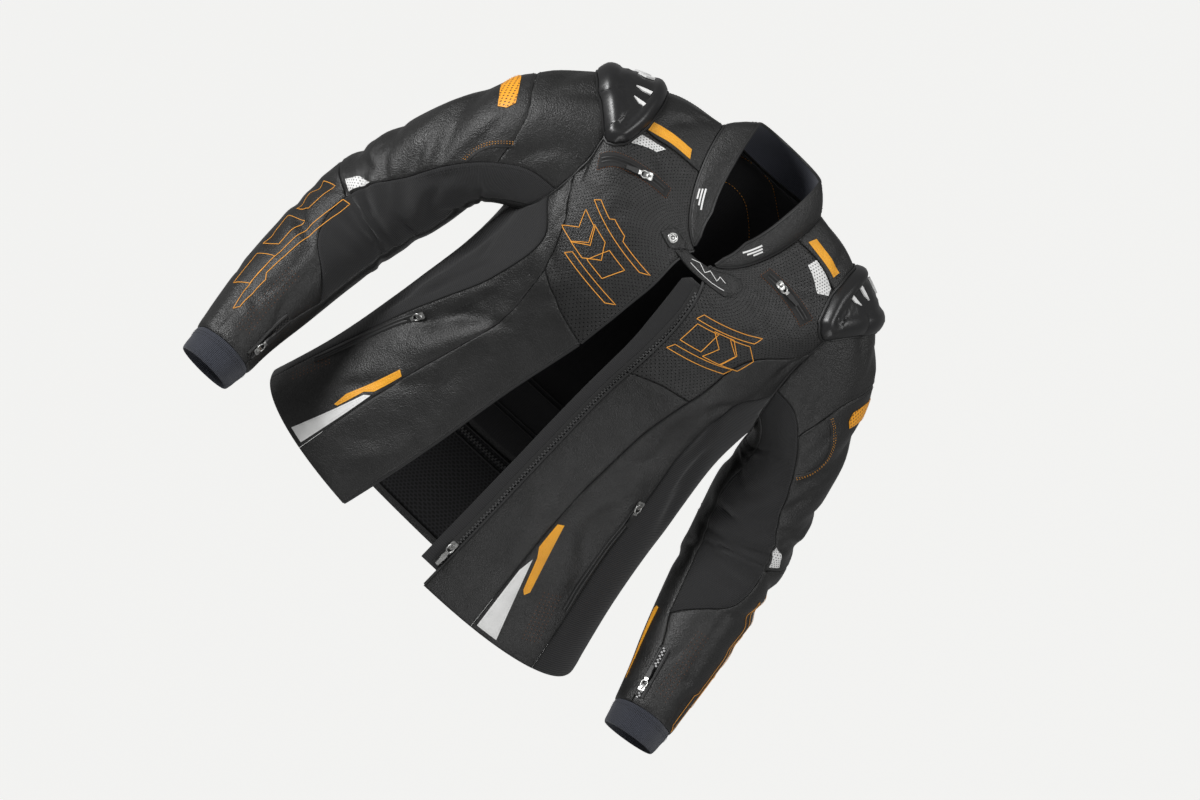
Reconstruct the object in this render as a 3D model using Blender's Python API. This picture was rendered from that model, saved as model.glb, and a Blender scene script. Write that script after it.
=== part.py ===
"""Leather motorcycle jacket, filled out and hollow, front open, at its real size in metres."""
from math import cos, pi, radians, sin

import bmesh
import bpy
import numpy as np
from mathutils import Vector
from mathutils.geometry import delaunay_2d_cdt

# Cloth walls and clearances
LEATHER = 0.0016
FABRIC = 0.0012
PATCH = 0.0012
GAP = 0.0003
SEAM_INSET = 0.0002
MESH_STEP = 0.026
SEAM_STEP = 0.024
PATCH_STEP = 0.018
RIGHT, LEFT = -1, 1
SIDE_NAMES = {RIGHT: "right", LEFT: "left"}

# Body: one row for each section, level is the way up from the hem
SKIRT_LEAN = 0.06
SKIRT_TOP = 0.25
NECK_LEVEL = 0.665
LENGTH_PER_RADIAN = 0.17
BODY_COLUMNS = ("level", "half_width", "front_depth", "back_depth", "front_z", "side_z", "back_z", "square")
BODY_ROWS = (
    (0.000, 0.262, 0.118, 0.100, -0.625, -0.612, -0.668, 2.3),
    (0.080, 0.238, 0.114, 0.094, -0.530, -0.526, -0.564, 2.3),
    (0.220, 0.211, 0.108, 0.086, -0.385, -0.380, -0.395, 2.3),
    (0.300, 0.199, 0.115, 0.090, -0.300, -0.300, -0.310, 2.3),
    (0.380, 0.198, 0.130, 0.106, -0.225, -0.222, -0.225, 2.4),
    (0.480, 0.192, 0.122, 0.112, -0.165, -0.118, -0.123, 2.5),
    (0.552, 0.185, 0.106, 0.104, -0.128, -0.042, -0.058, 2.5),
    (0.600, 0.145, 0.096, 0.092, -0.116, -0.012, -0.028, 2.3),
    (0.665, 0.078, 0.088, 0.078, -0.107, 0.004, -0.018, 2.0),
)

# Armhole: a loop on the body, phi runs from its top over the front
ARMHOLE_LEVEL = 0.475
ARMHOLE_HALF_HEIGHT = 0.107
ARMHOLE_HALF_ANGLE = 30.0
ARMHOLE_POWER = 0.85

# Sleeve: one row for each section of the wearer's left arm, along is the way from the armhole
ARM_SWING = {RIGHT: 0.014, LEFT: -0.004}
SLEEVE_LENGTH = 0.527
CUFF_END = 0.558
SHOULDER_LIFT = 0.9
UNDERARM_LIFT = 0.55
SHOULDER_BEND = 1.1
SHOULDER_WAY = (0.97, 0.0, -0.22)
ARM_OUTWARD = (1.0, 0.0, 0.25)
ARM_RADIAN = 0.066
ARM_COLUMNS = ("along", "x", "y", "z", "outer_radius", "front_radius")
ARM_ROWS = (
    (0.170, 0.271, 0.004, -0.258, 0.061, 0.064),
    (0.228, 0.285, 0.010, -0.315, 0.064, 0.066),
    (0.280, 0.300, 0.008, -0.365, 0.063, 0.066),
    (0.353, 0.314, -0.022, -0.430, 0.058, 0.062),
    (0.425, 0.324, -0.064, -0.487, 0.052, 0.055),
    (0.485, 0.330, -0.104, -0.532, 0.044, 0.046),
    (0.527, 0.332, -0.134, -0.562, 0.039, 0.041),
    (0.558, 0.334, -0.150, -0.588, 0.035, 0.036),
)

# Collar: its top ring, which leans in from the neck ring of the body
COLLAR_HALF_WIDTH = 0.050
COLLAR_FRONT = 0.074
COLLAR_BACK = 0.058
COLLAR_FRONT_Z = -0.082
COLLAR_SIDE_Z = 0.034
COLLAR_BACK_Z = 0.027
COLLAR_HEIGHT = 0.034
COLLAR_BULGE = 0.003
COLLAR_RADIAN = 0.075

# Largest folds: place, run direction in degrees, half length, half width and depth, in metres
FOLD_COLUMNS = ("angle", "level", "direction", "half_length", "half_width", "depth")
BODY_FOLDS = (
    (-50, 0.235, 58, 0.060, 0.017, -0.008),
    (-40, 0.215, 66, 0.050, 0.014, 0.004),
    (-76, 0.330, 75, 0.050, 0.014, -0.005),
    (64, 0.255, 112, 0.055, 0.016, -0.006),
    (40, 0.215, 110, 0.045, 0.014, 0.003),
    (-56, 0.610, 20, 0.035, 0.012, -0.004),
    (60, 0.605, 160, 0.035, 0.012, -0.003),
    (140, 0.235, 10, 0.060, 0.016, -0.006),
    (214, 0.250, 170, 0.065, 0.016, -0.006),
    (170, 0.205, 2, 0.050, 0.014, -0.004),
)
SLEEVE_FOLDS = (
    (20, 0.125, 15, 0.050, 0.014, -0.006),
    (78, 0.200, 40, 0.045, 0.013, -0.005),
    (110, 0.265, 8, 0.050, 0.012, -0.006),
    (100, 0.310, 172, 0.045, 0.012, -0.005),
    (150, 0.240, 14, 0.040, 0.011, -0.004),
    (-60, 0.150, 168, 0.050, 0.015, -0.005),
    (-90, 0.290, 4, 0.050, 0.014, -0.004),
)

# Seams of the fronts: angle from the middle and level, one list for each side
FRONT_EDGE = {
    RIGHT: ((9, 0.665), (4.5, 0.567), (6, 0.410), (8, 0.329), (12, 0.241), (16, 0.116), (20, 0.0)),
    LEFT: ((8, 0.665), (3.5, 0.575), (5, 0.486), (5.5, 0.345), (6, 0.210), (6, 0.116), (5.5, 0.0)),
}
CHEST_POINT = 3
YOKE_FRONT = {
    RIGHT: ((58.5, 0.665), (60.5, 0.640), (63.5, 0.600)),
    LEFT: ((68, 0.665), (70, 0.640), (70, 0.600)),
}
YOKE_PHI = {RIGHT: 35, LEFT: 32}
YOKE_BACK = ((108, 0.625), (114, 0.665))
YOKE_BACK_PHI = -24
PRINCESS_PHI = {RIGHT: 90, LEFT: 75}
PRINCESS_UPPER = {RIGHT: ((46, 0.441), (35, 0.366)), LEFT: ((37, 0.490), (27, 0.366))}
PRINCESS_LOWER = {
    RIGHT: ((33, 0.270), (35, 0.228), (39, 0.165), (42, 0.080), (42, 0.0)),
    LEFT: ((24, 0.263), (22.5, 0.200), (22, 0.147), (22, 0.070), (22, 0.0)),
}
CHEST_SEAM = {RIGHT: ((22, 0.345),), LEFT: ((15, 0.360),)}
SIDE_EDGE_PHI = {RIGHT: 112, LEFT: 108}
SIDE_EDGE = {
    RIGHT: ((47, 0.403), (50, 0.308), (60, 0.238), (66, 0.200), (75, 0.130), (82, 0.063), (83, 0.0)),
    LEFT: ((46, 0.403), (44, 0.340), (47, 0.238), (48, 0.140), (50, 0.063), (50, 0.0)),
}
SIDE_SEAM_PHI = {RIGHT: 160, LEFT: 180}
SIDE_SEAM = {
    RIGHT: ((86, 0.330), (93, 0.290), (95, 0.220), (97, 0.120), (100, 0.0)),
    LEFT: ((92, 0.300), (95, 0.220), (98, 0.120), (102, 0.0)),
}

# Seams of the sleeves: phi and way along, the same on both arms
STRETCH_TOP_PHI = 104
STRIP_TOP_PHI = 134
INNER_SEAM_PHI = 186
CAP_SEAM = ((60, 0.070), (20, 0.078), (-40, 0.082), (-110, 0.066), (-174, 0.030))
STRETCH_UPPER = ((94, 0.050), (92, 0.085))
STRETCH_MIDDLE = ((88, 0.128), (76, 0.184), (62, 0.236), (56, 0.290))
STRETCH_LOWER = ((58, 0.335), (72, 0.364), (98, 0.384), (138, 0.408))
STRIP_UPPER = ((140, 0.090), (148, 0.204), (140, 0.336), (138, 0.408))
STRIP_LOWER = ((128, 0.444), (130, 0.527))
ELBOW_SEAM = ((20, 0.278), (-60, 0.272), (-120, 0.268), (-174, 0.262))

# Patches and panels' raised pieces, in the same measures
WHITE_SHOULDER = {
    RIGHT: ((60, 0.617), (57, 0.606), (57.5, 0.572), (62.5, 0.5835)),
    LEFT: ((69.5, 0.634), (64, 0.634), (61, 0.598), (66, 0.590), (69, 0.596)),
}
ORANGE_SHOULDER = {
    RIGHT: ((61.6, 0.648), (66.5, 0.646), (70.5, 0.594), (66, 0.590)),
    LEFT: ((72, 0.655), (77, 0.652), (77, 0.606), (72.5, 0.606)),
}
WHITE_HEM = {
    RIGHT: ((42.6, 0.102), (44.5, 0.096), (50, 0.006), (43.2, 0.006)),
    LEFT: ((22.8, 0.078), (24, 0.096), (31, 0.006), (23.2, 0.006)),
}
ORANGE_HEM = {
    RIGHT: ((41, 0.146), (43.5, 0.150), (49.2, 0.080), (48.4, 0.062), (47.2, 0.064), (45.6, 0.098),
            (43, 0.108)),
    LEFT: ((23, 0.146), (25, 0.150), (30.5, 0.066), (29.3, 0.060), (28, 0.064), (25, 0.100), (23, 0.112)),
}
CHEST_ZIP = {
    RIGHT: ((56, 0.526), (42.5, 0.630), (36.5, 0.621), (50.5, 0.516)),
    LEFT: ((53.5, 0.570), (46, 0.650), (39, 0.644), (46.5, 0.562)),
}
POCKET_ZIP = {
    RIGHT: ((62, 0.216), (72.5, 0.130), (79, 0.066), (75.5, 0.063), (69, 0.126), (58.5, 0.211)),
    LEFT: ((45.9, 0.228), (46.9, 0.140), (48.8, 0.070), (45.6, 0.068), (43.7, 0.140), (42.6, 0.228)),
}
ORANGE_SLEEVE = ((-14, 0.094), (40, 0.084), (44, 0.090), (40, 0.098), (-14, 0.108))
WHITE_ELBOW = ((46, 0.252), (59, 0.240), (54, 0.278), (40, 0.274))
ORANGE_FOREARM = ((162, 0.404), (168, 0.401), (174, 0.404), (173.5, 0.440), (173, 0.500), (171, 0.480),
                  (166, 0.440))
CUFF_ZIP = ((126, 0.450), (127.5, 0.522), (115.5, 0.522), (113, 0.455))
CUP_OUTLINE = ((62, -0.014), (60, -0.024), (54, -0.030), (46, -0.027), (22, -0.017), (0, -0.011),
               (-24, -0.011), (-46, -0.015), (-58, -0.010), (-63, 0.002), (-58, 0.014), (-40, 0.030),
               (-20, 0.039), (0, 0.040), (20, 0.032), (40, 0.017), (56, 0.004), (61, -0.004))
CUP_STEP = 0.011
CUP_SEAT = 0.0011
CUP_RIM = 0.0040
CUP_RISE = 0.0090
CUP_BEVEL = 0.013
CUP_RING_WAYS = (0.0045, 0.010)
ARMHOLE_REACH = 0.095

# Neck tab, strap and wind flap
NECK_TAB = ((-22, 0.628), (-17, 0.582), (-9, 0.572), (-8.5, 0.622), (-14, 0.640))
NECK_STRAP = ((-8, 0.624), (-8, 0.580), (0, 0.570), (12, 0.572), (22, 0.608), (26.5, 0.638), (20, 0.652),
              (4, 0.642))
STRAP_SEAT = 0.0008
STRAP_LIFT = 0.0022
FLAP_CLEARANCE = 0.0011
FLAP_OUTLINE = ((9, 0.560), (9, 0.020), (1, 0.020), (1, 0.178), (0.5, 0.300), (0, 0.410), (-0.5, 0.540),
                (0.5, 0.560))
ZIP_OUTLINE = ((3.4, 0.545), (4.4, 0.486), (4.9, 0.345), (5.4, 0.210), (5.4, 0.116), (5.0, 0.024),
               (3.3, 0.024), (3.7, 0.116), (3.7, 0.210), (3.2, 0.345), (2.9, 0.486), (1.8, 0.545))
SNAP_PLACE = (-14.5, 0.602)
SNAP_RADIUS = 0.0065
SNAP_HEIGHT = 0.002

# Back lining and the mesh below it
LINING_OUTLINE = ((106, 0.140), (102, 0.330), (126, 0.390), (128, 0.520), (120, 0.600), (118, 0.656),
                  (242, 0.656), (240, 0.600), (232, 0.520), (234, 0.390), (258, 0.330), (254, 0.140),
                  (180, 0.128))
MESH_OUTLINE = ((107, 0.132), (180, 0.120), (253, 0.132), (252, 0.008), (180, 0.006), (108, 0.008))

# Collar outline, as angle and height share
COLLAR_OUTLINE = ((12, 0.035), (16, 0.45), (30, 0.92), (60, 1.0), (120, 1.0), (180, 1.0), (240, 1.0),
                  (300, 1.0), (330, 0.92), (344, 0.45), (348, 0.035), (300, 0.035), (240, 0.035),
                  (180, 0.035), (120, 0.035), (60, 0.035))

# Zip pulls: width, length and thickness of the tab
PULL_WIDTH = 0.008
PULL_LENGTH = 0.030
PULL_THICK = 0.0022
PULL_LIFT = 0.0040

# Colours: base colour, roughness and metallic
COLOURS = {
    "black_leather": ((0.030, 0.031, 0.030), 0.45, 0.0),
    "stretch_fabric": ((0.018, 0.018, 0.020), 0.95, 0.0),
    "navy_fabric": ((0.045, 0.048, 0.065), 0.90, 0.0),
    "orange_leather": ((0.90, 0.36, 0.03), 0.50, 0.0),
    "white_leather": ((0.82, 0.82, 0.80), 0.50, 0.0),
    "lining_fabric": ((0.014, 0.014, 0.014), 0.95, 0.0),
    "black_rubber": ((0.012, 0.012, 0.012), 0.35, 0.0),
    "moulded_plastic": ((0.020, 0.020, 0.020), 0.35, 0.0),
    "nickel": ((0.62, 0.62, 0.60), 0.30, 1.0),
}


def curve_through(rows, places):
    """Smooth curve through table rows, whose first column is the place along it."""
    table = np.array(rows, float)
    knots = table[:, 0]
    values = table[:, 1:]
    slopes = np.gradient(values, knots, axis=0)
    places = np.clip(places, knots[0], knots[-1])
    index = np.clip(np.searchsorted(knots, places, side="right") - 1, 0, len(knots) - 2)
    span = (knots[index + 1] - knots[index])[:, None]
    part = (places - knots[index])[:, None] / span
    rest = 1.0 - part
    return (values[index] * (1 + 2 * part) * rest ** 2
            + slopes[index] * span * part * rest ** 2
            + values[index + 1] * (3 - 2 * part) * part ** 2
            - slopes[index + 1] * span * rest * part ** 2)


def signed_power(value, power):
    return np.sign(value) * np.abs(value) ** power


def fold_depth(folds, angle, level, radian):
    """How far the folds of a table push the surface out, at each place."""
    depth = np.zeros(len(angle))
    for middle, height, direction, half_length, half_width, rise in folds:
        across = (np.remainder(angle - middle + 180, 360) - 180) * pi / 180 * radian
        upward = level - height
        turn = radians(direction)
        run = across * cos(turn) + upward * sin(turn)
        side = -across * sin(turn) + upward * cos(turn)
        depth += rise * np.exp(-(side / half_width) ** 2 - (run / half_length) ** 4)
    return depth


def plain_body(angle, level):
    angle = np.radians(angle)
    half, front, back, front_z, side_z, back_z, square = curve_through(BODY_ROWS, level).T
    ahead = np.cos(angle)
    x = half * signed_power(np.sin(angle), 2 / square)
    y = np.where(ahead > 0, -front, back) * np.abs(ahead) ** (2 / square)
    z = side_z + (np.where(ahead > 0, front_z, back_z) - side_z) * np.abs(ahead) ** 1.3
    skirt = np.clip((SKIRT_TOP - level) / SKIRT_TOP, 0, 1) ** 2
    return np.stack([x, y, z - SKIRT_LEAN * x * skirt], axis=1)


def unit(vectors):
    return vectors / np.linalg.norm(vectors, axis=1)[:, None]


def surface_normal(surface, a, b, a_step, b_step):
    across = surface(a + a_step, b) - surface(a - a_step, b)
    along = surface(a, b + b_step) - surface(a, b - b_step)
    return unit(np.cross(across, along))


def body_surface(angle, level):
    """Outer face of the body: angle in degrees from the front, level up from the hem."""
    push = fold_depth(BODY_FOLDS, angle, level, LENGTH_PER_RADIAN)
    return plain_body(angle, level) + surface_normal(plain_body, angle, level, 0.5, 0.001) * push[:, None]


def armhole_place(phi):
    """Angle and level on the body of the armhole seam."""
    phi = np.radians(phi)
    return (90 - ARMHOLE_HALF_ANGLE * signed_power(np.sin(phi), ARMHOLE_POWER),
            ARMHOLE_LEVEL + ARMHOLE_HALF_HEIGHT * signed_power(np.cos(phi), ARMHOLE_POWER))


def arm_ring(phi, along, side):
    """Point on the sleeve's section, for the arm mirrored to the wearer's left."""
    phi = np.radians(phi)
    row = curve_through(ARM_ROWS, along)
    after, before = (curve_through(ARM_ROWS, along + step)[:, :3] for step in (0.004, -0.004))
    ahead = unit(after - before)
    outward = np.array(ARM_OUTWARD)
    outer = unit(outward[None, :] - ahead * (ahead @ outward)[:, None])
    front = np.cross(ahead, outer)
    swing = np.zeros_like(row[:, :3])
    swing[:, 0] = ARM_SWING[side] * np.clip((SLEEVE_LENGTH - along) / 0.3, 0, 1)
    outer_way, front_way = row[:, 3] * np.cos(phi), row[:, 4] * np.sin(phi)
    return row[:, :3] + swing + outer * outer_way[:, None] + front * front_way[:, None]


def plain_sleeve(phi, along, side):
    """Sleeve from the armhole seam, bending over the shoulder into the arm's sections."""
    first = ARM_ROWS[0][0]
    ring = arm_ring(phi, np.maximum(along, first), side)
    angle, level = armhole_place(phi)
    start = body_surface(angle * side, level)
    start[:, 0] *= side
    edge = arm_ring(phi, np.full(len(phi), first), side)
    ahead = unit(arm_ring(phi, np.full(len(phi), first + 0.01), side) - edge)
    chord = edge - start
    length = np.linalg.norm(chord, axis=1)[:, None]
    top_share = (0.5 + 0.5 * np.cos(np.radians(phi)))[:, None]
    lift = SHOULDER_LIFT * top_share + UNDERARM_LIFT * (1 - top_share)
    leave = unit((1 - lift) * chord / length + lift * np.array([SHOULDER_WAY]))
    part = np.clip(along / first, 0, 1)[:, None]
    rest = 1 - part
    upper = (start * (1 + 2 * part) * rest ** 2 + leave * length * SHOULDER_BEND * part * rest ** 2
             + edge * (3 - 2 * part) * part ** 2 - ahead * length * SHOULDER_BEND * rest * part ** 2)
    return np.where((along < first)[:, None], upper, ring)


def sleeve_surface(side):
    """Outer face of one sleeve as a function of signed phi and way along."""
    def surface(signed_phi, along):
        phi = signed_phi * side

        def plain(p, t):
            return plain_sleeve(p, t, side)
        near_seam = np.clip(along / 0.03, 0, 1)
        push = fold_depth(SLEEVE_FOLDS, phi, along, ARM_RADIAN) * near_seam
        points = plain(phi, along) + surface_normal(plain, phi, along, 0.5, 0.001) * push[:, None]
        points[:, 0] *= side
        return points
    return surface


def shoulder_surface(side):
    """The sleeve's face, carried on over the armhole seam onto the body where the way along is negative."""
    sleeve = sleeve_surface(side)

    def surface(signed_phi, along):
        angle, level = armhole_place(signed_phi * side)
        grow = 1 + np.maximum(-along, 0) / ARMHOLE_REACH
        body = body_surface((90 - (90 - angle) * grow) * side, ARMHOLE_LEVEL + (level - ARMHOLE_LEVEL) * grow)
        return np.where((along < 0)[:, None], body, sleeve(signed_phi, np.maximum(along, 0)))
    return surface


def collar_surface(angle, share):
    """Outer face of the collar: angle from the front, share of its height."""
    turn = np.radians(angle)
    low = plain_body(angle, np.full(len(angle), NECK_LEVEL))
    ahead = np.cos(turn)
    x = COLLAR_HALF_WIDTH * np.sin(turn)
    y = np.where(ahead > 0, -COLLAR_FRONT, COLLAR_BACK) * np.abs(ahead)
    end_z = np.where(ahead > 0, COLLAR_FRONT_Z, COLLAR_BACK_Z)
    z = COLLAR_SIDE_Z + (end_z - COLLAR_SIDE_Z) * np.abs(ahead) ** 1.3
    high = np.stack([x, y, z], axis=1)
    bulge = COLLAR_BULGE * np.sin(share * pi)
    out = np.stack([np.sin(turn), -ahead, np.zeros(len(angle))], axis=1)
    return low + (high - low) * share[:, None] + out * bulge[:, None]


class Sheet:
    """A surface with its normals and with measures that turn its places into metres."""

    def __init__(self, surface, radian, along=1.0, side=None):
        self.surface = surface
        self.radian = radian * pi / 180
        self.along = along
        self.side = side

    def flat(self, places):
        return places[:, :2] * np.array([self.radian, self.along])

    def point(self, places):
        return self.surface(places[:, 0], places[:, 1])

    def normal(self, places):
        return surface_normal(self.surface, places[:, 0], places[:, 1], 0.5, 0.001 / self.along)


BODY = Sheet(body_surface, LENGTH_PER_RADIAN)
COLLAR = Sheet(collar_surface, COLLAR_RADIAN, COLLAR_HEIGHT)
SLEEVES = {side: Sheet(sleeve_surface(side), ARM_RADIAN, 1.0, side) for side in (RIGHT, LEFT)}


def smooth_line(points, step, sheet):
    """Points at even real spacing on a smooth line through the given places."""
    places = np.array(points, float)
    reach = np.linalg.norm(np.diff(sheet.flat(places), axis=0), axis=1)
    knots = np.concatenate([[0], np.cumsum(reach)])
    fine = np.linspace(0, knots[-1], 200)
    if len(places) > 2:
        line = curve_through(np.column_stack([knots, places]), fine)
    else:
        line = places[0] + (places[1] - places[0]) * (fine / knots[-1])[:, None]
    real = sheet.point(line)
    way = np.concatenate([[0], np.cumsum(np.linalg.norm(np.diff(real, axis=0), axis=1))])
    count = max(1, round(way[-1] / step))
    at = np.interp(np.linspace(0, way[-1], count + 1), way, fine)
    sampled = np.column_stack([np.interp(at, fine, line[:, 0]), np.interp(at, fine, line[:, 1])])
    sampled[0] = places[0]
    sampled[-1] = places[-1]
    return np.column_stack([sampled, np.full(len(sampled), np.nan)])


def armhole_line(first_phi, last_phi, on_body, side):
    """Part of the armhole seam, with phi kept so that both pieces share its wall direction."""
    low, high = sorted((first_phi, last_phi))
    shared = [YOKE_PHI[side], PRINCESS_PHI[side], SIDE_EDGE_PHI[side], SIDE_SEAM_PHI[side], YOKE_BACK_PHI,
              STRETCH_TOP_PHI, STRIP_TOP_PHI, INNER_SEAM_PHI, *range(-180, 181, 15)]
    turns = sorted({p + turn for p in shared for turn in (-360, 0, 360)})
    phi = np.array([low] + [p for p in turns if low < p < high] + [high], float)
    if first_phi > last_phi:
        phi = phi[::-1]
    if on_body:
        angle, level = armhole_place(phi)
        return np.column_stack([angle * side, level, phi])
    return np.column_stack([phi * side, np.zeros(len(phi)), phi])


def join_lines(*lines):
    """One closed outline from lines that meet end to end."""
    kept = [line[:-1] for line in lines]
    return np.concatenate(kept)


def polyline(points, step, sheet):
    """Closed outline with straight sides, cut to even steps."""
    corners = [np.array(p, float) for p in points]
    lines = []
    for start, end in zip(corners, corners[1:] + corners[:1]):
        lines.append(smooth_line([start, end], step, sheet))
    return join_lines(*lines)


def counter_clockwise(outline, sheet):
    flat = sheet.flat(outline)
    after = np.roll(flat, -1, axis=0)
    area = np.sum(flat[:, 0] * after[:, 1] - after[:, 0] * flat[:, 1])
    return outline if area > 0 else outline[::-1]


def pull_in(outline, sheet, distance):
    """Outline moved inwards by a real distance."""
    flat = sheet.flat(outline)
    before = unit(flat - np.roll(flat, 1, axis=0))
    after = unit(np.roll(flat, -1, axis=0) - flat)
    inward = np.stack([-(before + after)[:, 1], (before + after)[:, 0]], axis=1)
    inward = unit(inward)
    sharp = np.abs(np.sum(np.stack([-before[:, 1], before[:, 0]], axis=1) * inward, axis=1))
    move = inward / np.array([sheet.radian, sheet.along])
    small = 1e-4
    moved = outline[:, :2] + move * small
    real = np.linalg.norm(sheet.point(moved) - sheet.point(outline), axis=1) / small
    result = outline.copy()
    result[:, :2] += move * (distance / real / np.maximum(sharp, 0.35))[:, None]
    return result


def inside(points, loop):
    """Which points lie inside a closed loop."""
    x, y = points[:, 0][:, None], points[:, 1][:, None]
    x0, y0 = loop[:, 0][None, :], loop[:, 1][None, :]
    x1, y1 = np.roll(x0, -1, axis=1), np.roll(y0, -1, axis=1)
    crosses = (y0 > y) != (y1 > y)
    with np.errstate(divide="ignore", invalid="ignore"):
        at = x0 + (y - y0) * (x1 - x0) / (y1 - y0)
    return np.sum(crosses & (x < at), axis=1) % 2 == 1


def distance_to_loop(points, loop):
    start = loop[None, :, :]
    run = np.roll(loop, -1, axis=0)[None, :, :] - start
    offset = points[:, None, :] - start
    share = np.clip(np.sum(offset * run, axis=2) / np.maximum(np.sum(run * run, axis=2), 1e-12), 0, 1)
    return np.linalg.norm(offset - run * share[:, :, None], axis=2).min(axis=1)


class Web:
    """Triangles of one cut piece: places on the sheet, faces, and its outline's walls."""

    def __init__(self, sheet, outline, step=MESH_STEP, inner=(), gap=SEAM_INSET):
        self.sheet = sheet
        outline = counter_clockwise(outline, sheet)
        self.outline = pull_in(outline, sheet, gap)
        loops = [self.outline] + [counter_clockwise(loop, sheet) for loop in inner]
        fixed = np.concatenate(loops)
        edges = []
        start = 0
        for loop in loops:
            size = len(loop)
            edges += [(start + i, start + (i + 1) % size) for i in range(size)]
            start += size
        flat_loops = [sheet.flat(loop) for loop in loops]
        low, high = flat_loops[0].min(axis=0), flat_loops[0].max(axis=0)
        rows = np.arange(np.floor(low[1] / step) * step, high[1], step * 0.87)
        columns = np.arange(np.floor(low[0] / step) * step, high[0] + step, step)
        grid = np.array([(x + (n % 2) * step / 2, y) for n, y in enumerate(rows) for x in columns])
        keep = inside(grid, flat_loops[0])
        for loop in flat_loops:
            keep &= distance_to_loop(grid, loop) > step * 0.45
        grid = grid[keep]
        flat = np.concatenate([sheet.flat(fixed), grid])
        points, _, faces, origins, _, _ = delaunay_2d_cdt([Vector(p) for p in flat], edges, [], 1, 1e-6)
        self.flat = np.array([tuple(p) for p in points])
        self.places = self.flat / np.array([sheet.radian, sheet.along])
        tags = np.concatenate([fixed[:, 2], np.full(len(grid), np.nan)])
        self.tags = np.array([tags[o[0]] if o else np.nan for o in origins])
        self.faces = [tuple(f) for f in faces]
        self.base = sheet.point(self.places)
        self.out = self.wall_directions()

    def wall_directions(self):
        """Normals, and the mitre between body and sleeve along the armhole."""
        out = self.sheet.normal(self.places)
        tagged = ~np.isnan(self.tags)
        if tagged.any():
            phi = self.tags[tagged]
            angle, level = armhole_place(phi)
            body = surface_normal(plain_body, angle, level, 0.5, 0.001)
            sleeve = surface_normal(SLEEVES[LEFT].surface, phi, np.full(len(phi), 0.001), 0.5, 0.001)
            right = np.remainder(self.places[tagged, 0], 360) > 180
            if self.sheet.side:
                right[:] = self.sheet.side == RIGHT
            flip = np.where(right, -1.0, 1.0)
            body[:, 0] *= flip
            sleeve[:, 0] *= flip
            mitre = unit(body + sleeve)
            cosine = np.clip(np.sum(mitre * body, axis=1), 0.55, 1)
            out[tagged] = mitre / cosine[:, None]
        return out

    def part(self, loop):
        """The faces that lie inside an inner loop."""
        flat_loop = self.sheet.flat(counter_clockwise(loop, self.sheet))
        middles = np.array([self.flat[list(f)].mean(axis=0) for f in self.faces])
        chosen = inside(middles, flat_loop)
        return [f for f, take in zip(self.faces, chosen) if take]


def material(name):
    made = bpy.data.materials.get(name)
    if made:
        return made
    colour, roughness, metallic = COLOURS[name]
    made = bpy.data.materials.new(name)
    made.use_nodes = True
    shader = made.node_tree.nodes["Principled BSDF"]
    shader.inputs["Base Color"].default_value = (*colour, 1)
    shader.inputs["Roughness"].default_value = roughness
    shader.inputs["Metallic"].default_value = metallic
    return made


def add_object(name, points, faces, colour):
    mesh = bpy.data.meshes.new(name)
    mesh.from_pydata([tuple(p) for p in points], [], faces)
    mesh.materials.append(material(colour))
    mesh.shade_smooth()
    mesh.set_sharp_from_angle(angle=radians(40))
    made = bpy.data.objects.new(name, mesh)
    bpy.context.collection.objects.link(made)
    return made


def wall(name, web, faces, low, high, colour):
    """Closed wall between two distances out from the sheet; each may be one per point."""
    low = np.broadcast_to(low, len(web.base))
    high = np.broadcast_to(high, len(web.base))
    used = sorted({i for f in faces for i in f})
    new = {old: n for n, old in enumerate(used)}
    top = web.base[used] + web.out[used] * high[used][:, None]
    bottom = web.base[used] + web.out[used] * low[used][:, None]
    count = len(used)
    upper = [tuple(new[i] for i in f) for f in faces]
    lower = [tuple(count + i for i in reversed(f)) for f in upper]
    directed = {(f[k], f[(k + 1) % len(f)]) for f in upper for k in range(len(f))}
    sides = [(b, a, count + a, count + b) for a, b in directed if (b, a) not in directed]
    return add_object(name, np.concatenate([top, bottom]), upper + lower + sorted(sides), colour)


def cut_panel(name, web, colour, thick=LEATHER, depth=0.0):
    """A panel whose outer face lies a depth below the sheet."""
    return wall(name, web, web.faces, -depth - thick, -depth, colour)


def laid_piece(name, web, loop, colour, thick=PATCH, depth=0.0):
    """A flat piece made from its panel's points, moved out."""
    return wall(name, web, web.part(loop), GAP - depth, GAP + thick - depth, colour)


def bulged_piece(name, web, loop, colour, rim, rise, reach):
    """A laid piece that swells from a rim at its edge to its middle."""
    flat_loop = web.sheet.flat(loop)
    inwards = np.clip(distance_to_loop(web.flat, flat_loop) / reach, 0, 1)
    high = GAP + rim + rise * np.sin(inwards * pi / 2)
    return wall(name, web, web.part(loop), GAP, high, colour)


def local_frame(sheet, place, toward):
    """Point, outward direction and direction towards a second place on a sheet."""
    here = np.array([[*place, np.nan]])
    there = np.array([[*toward, np.nan]])
    point = sheet.point(here)[0]
    out = sheet.normal(here)[0]
    along = sheet.point(there)[0] - point
    along -= out * float(along @ out)
    along /= np.linalg.norm(along)
    return point, out, along


def box_between(name, origin, along, across, out, sections, colour):
    """A loft of flat rectangular sections: way along, half width, low and high."""
    points = []
    for way, half, low, high in sections:
        for side, height in ((-half, low), (half, low), (half, high), (-half, high)):
            points.append(origin + along * way + across * side + out * height)
    faces = [(3, 2, 1, 0)]
    for n in range(len(sections) - 1):
        start = 4 * n
        faces += [(start + k, start + (k + 1) % 4, start + 4 + (k + 1) % 4, start + 4 + k) for k in range(4)]
    last = 4 * (len(sections) - 1)
    faces.append((last, last + 1, last + 2, last + 3))
    if np.cross(across, out) @ along < 0:
        faces = [tuple(reversed(f)) for f in faces]
    return add_object(name, points, faces, colour)


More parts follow.
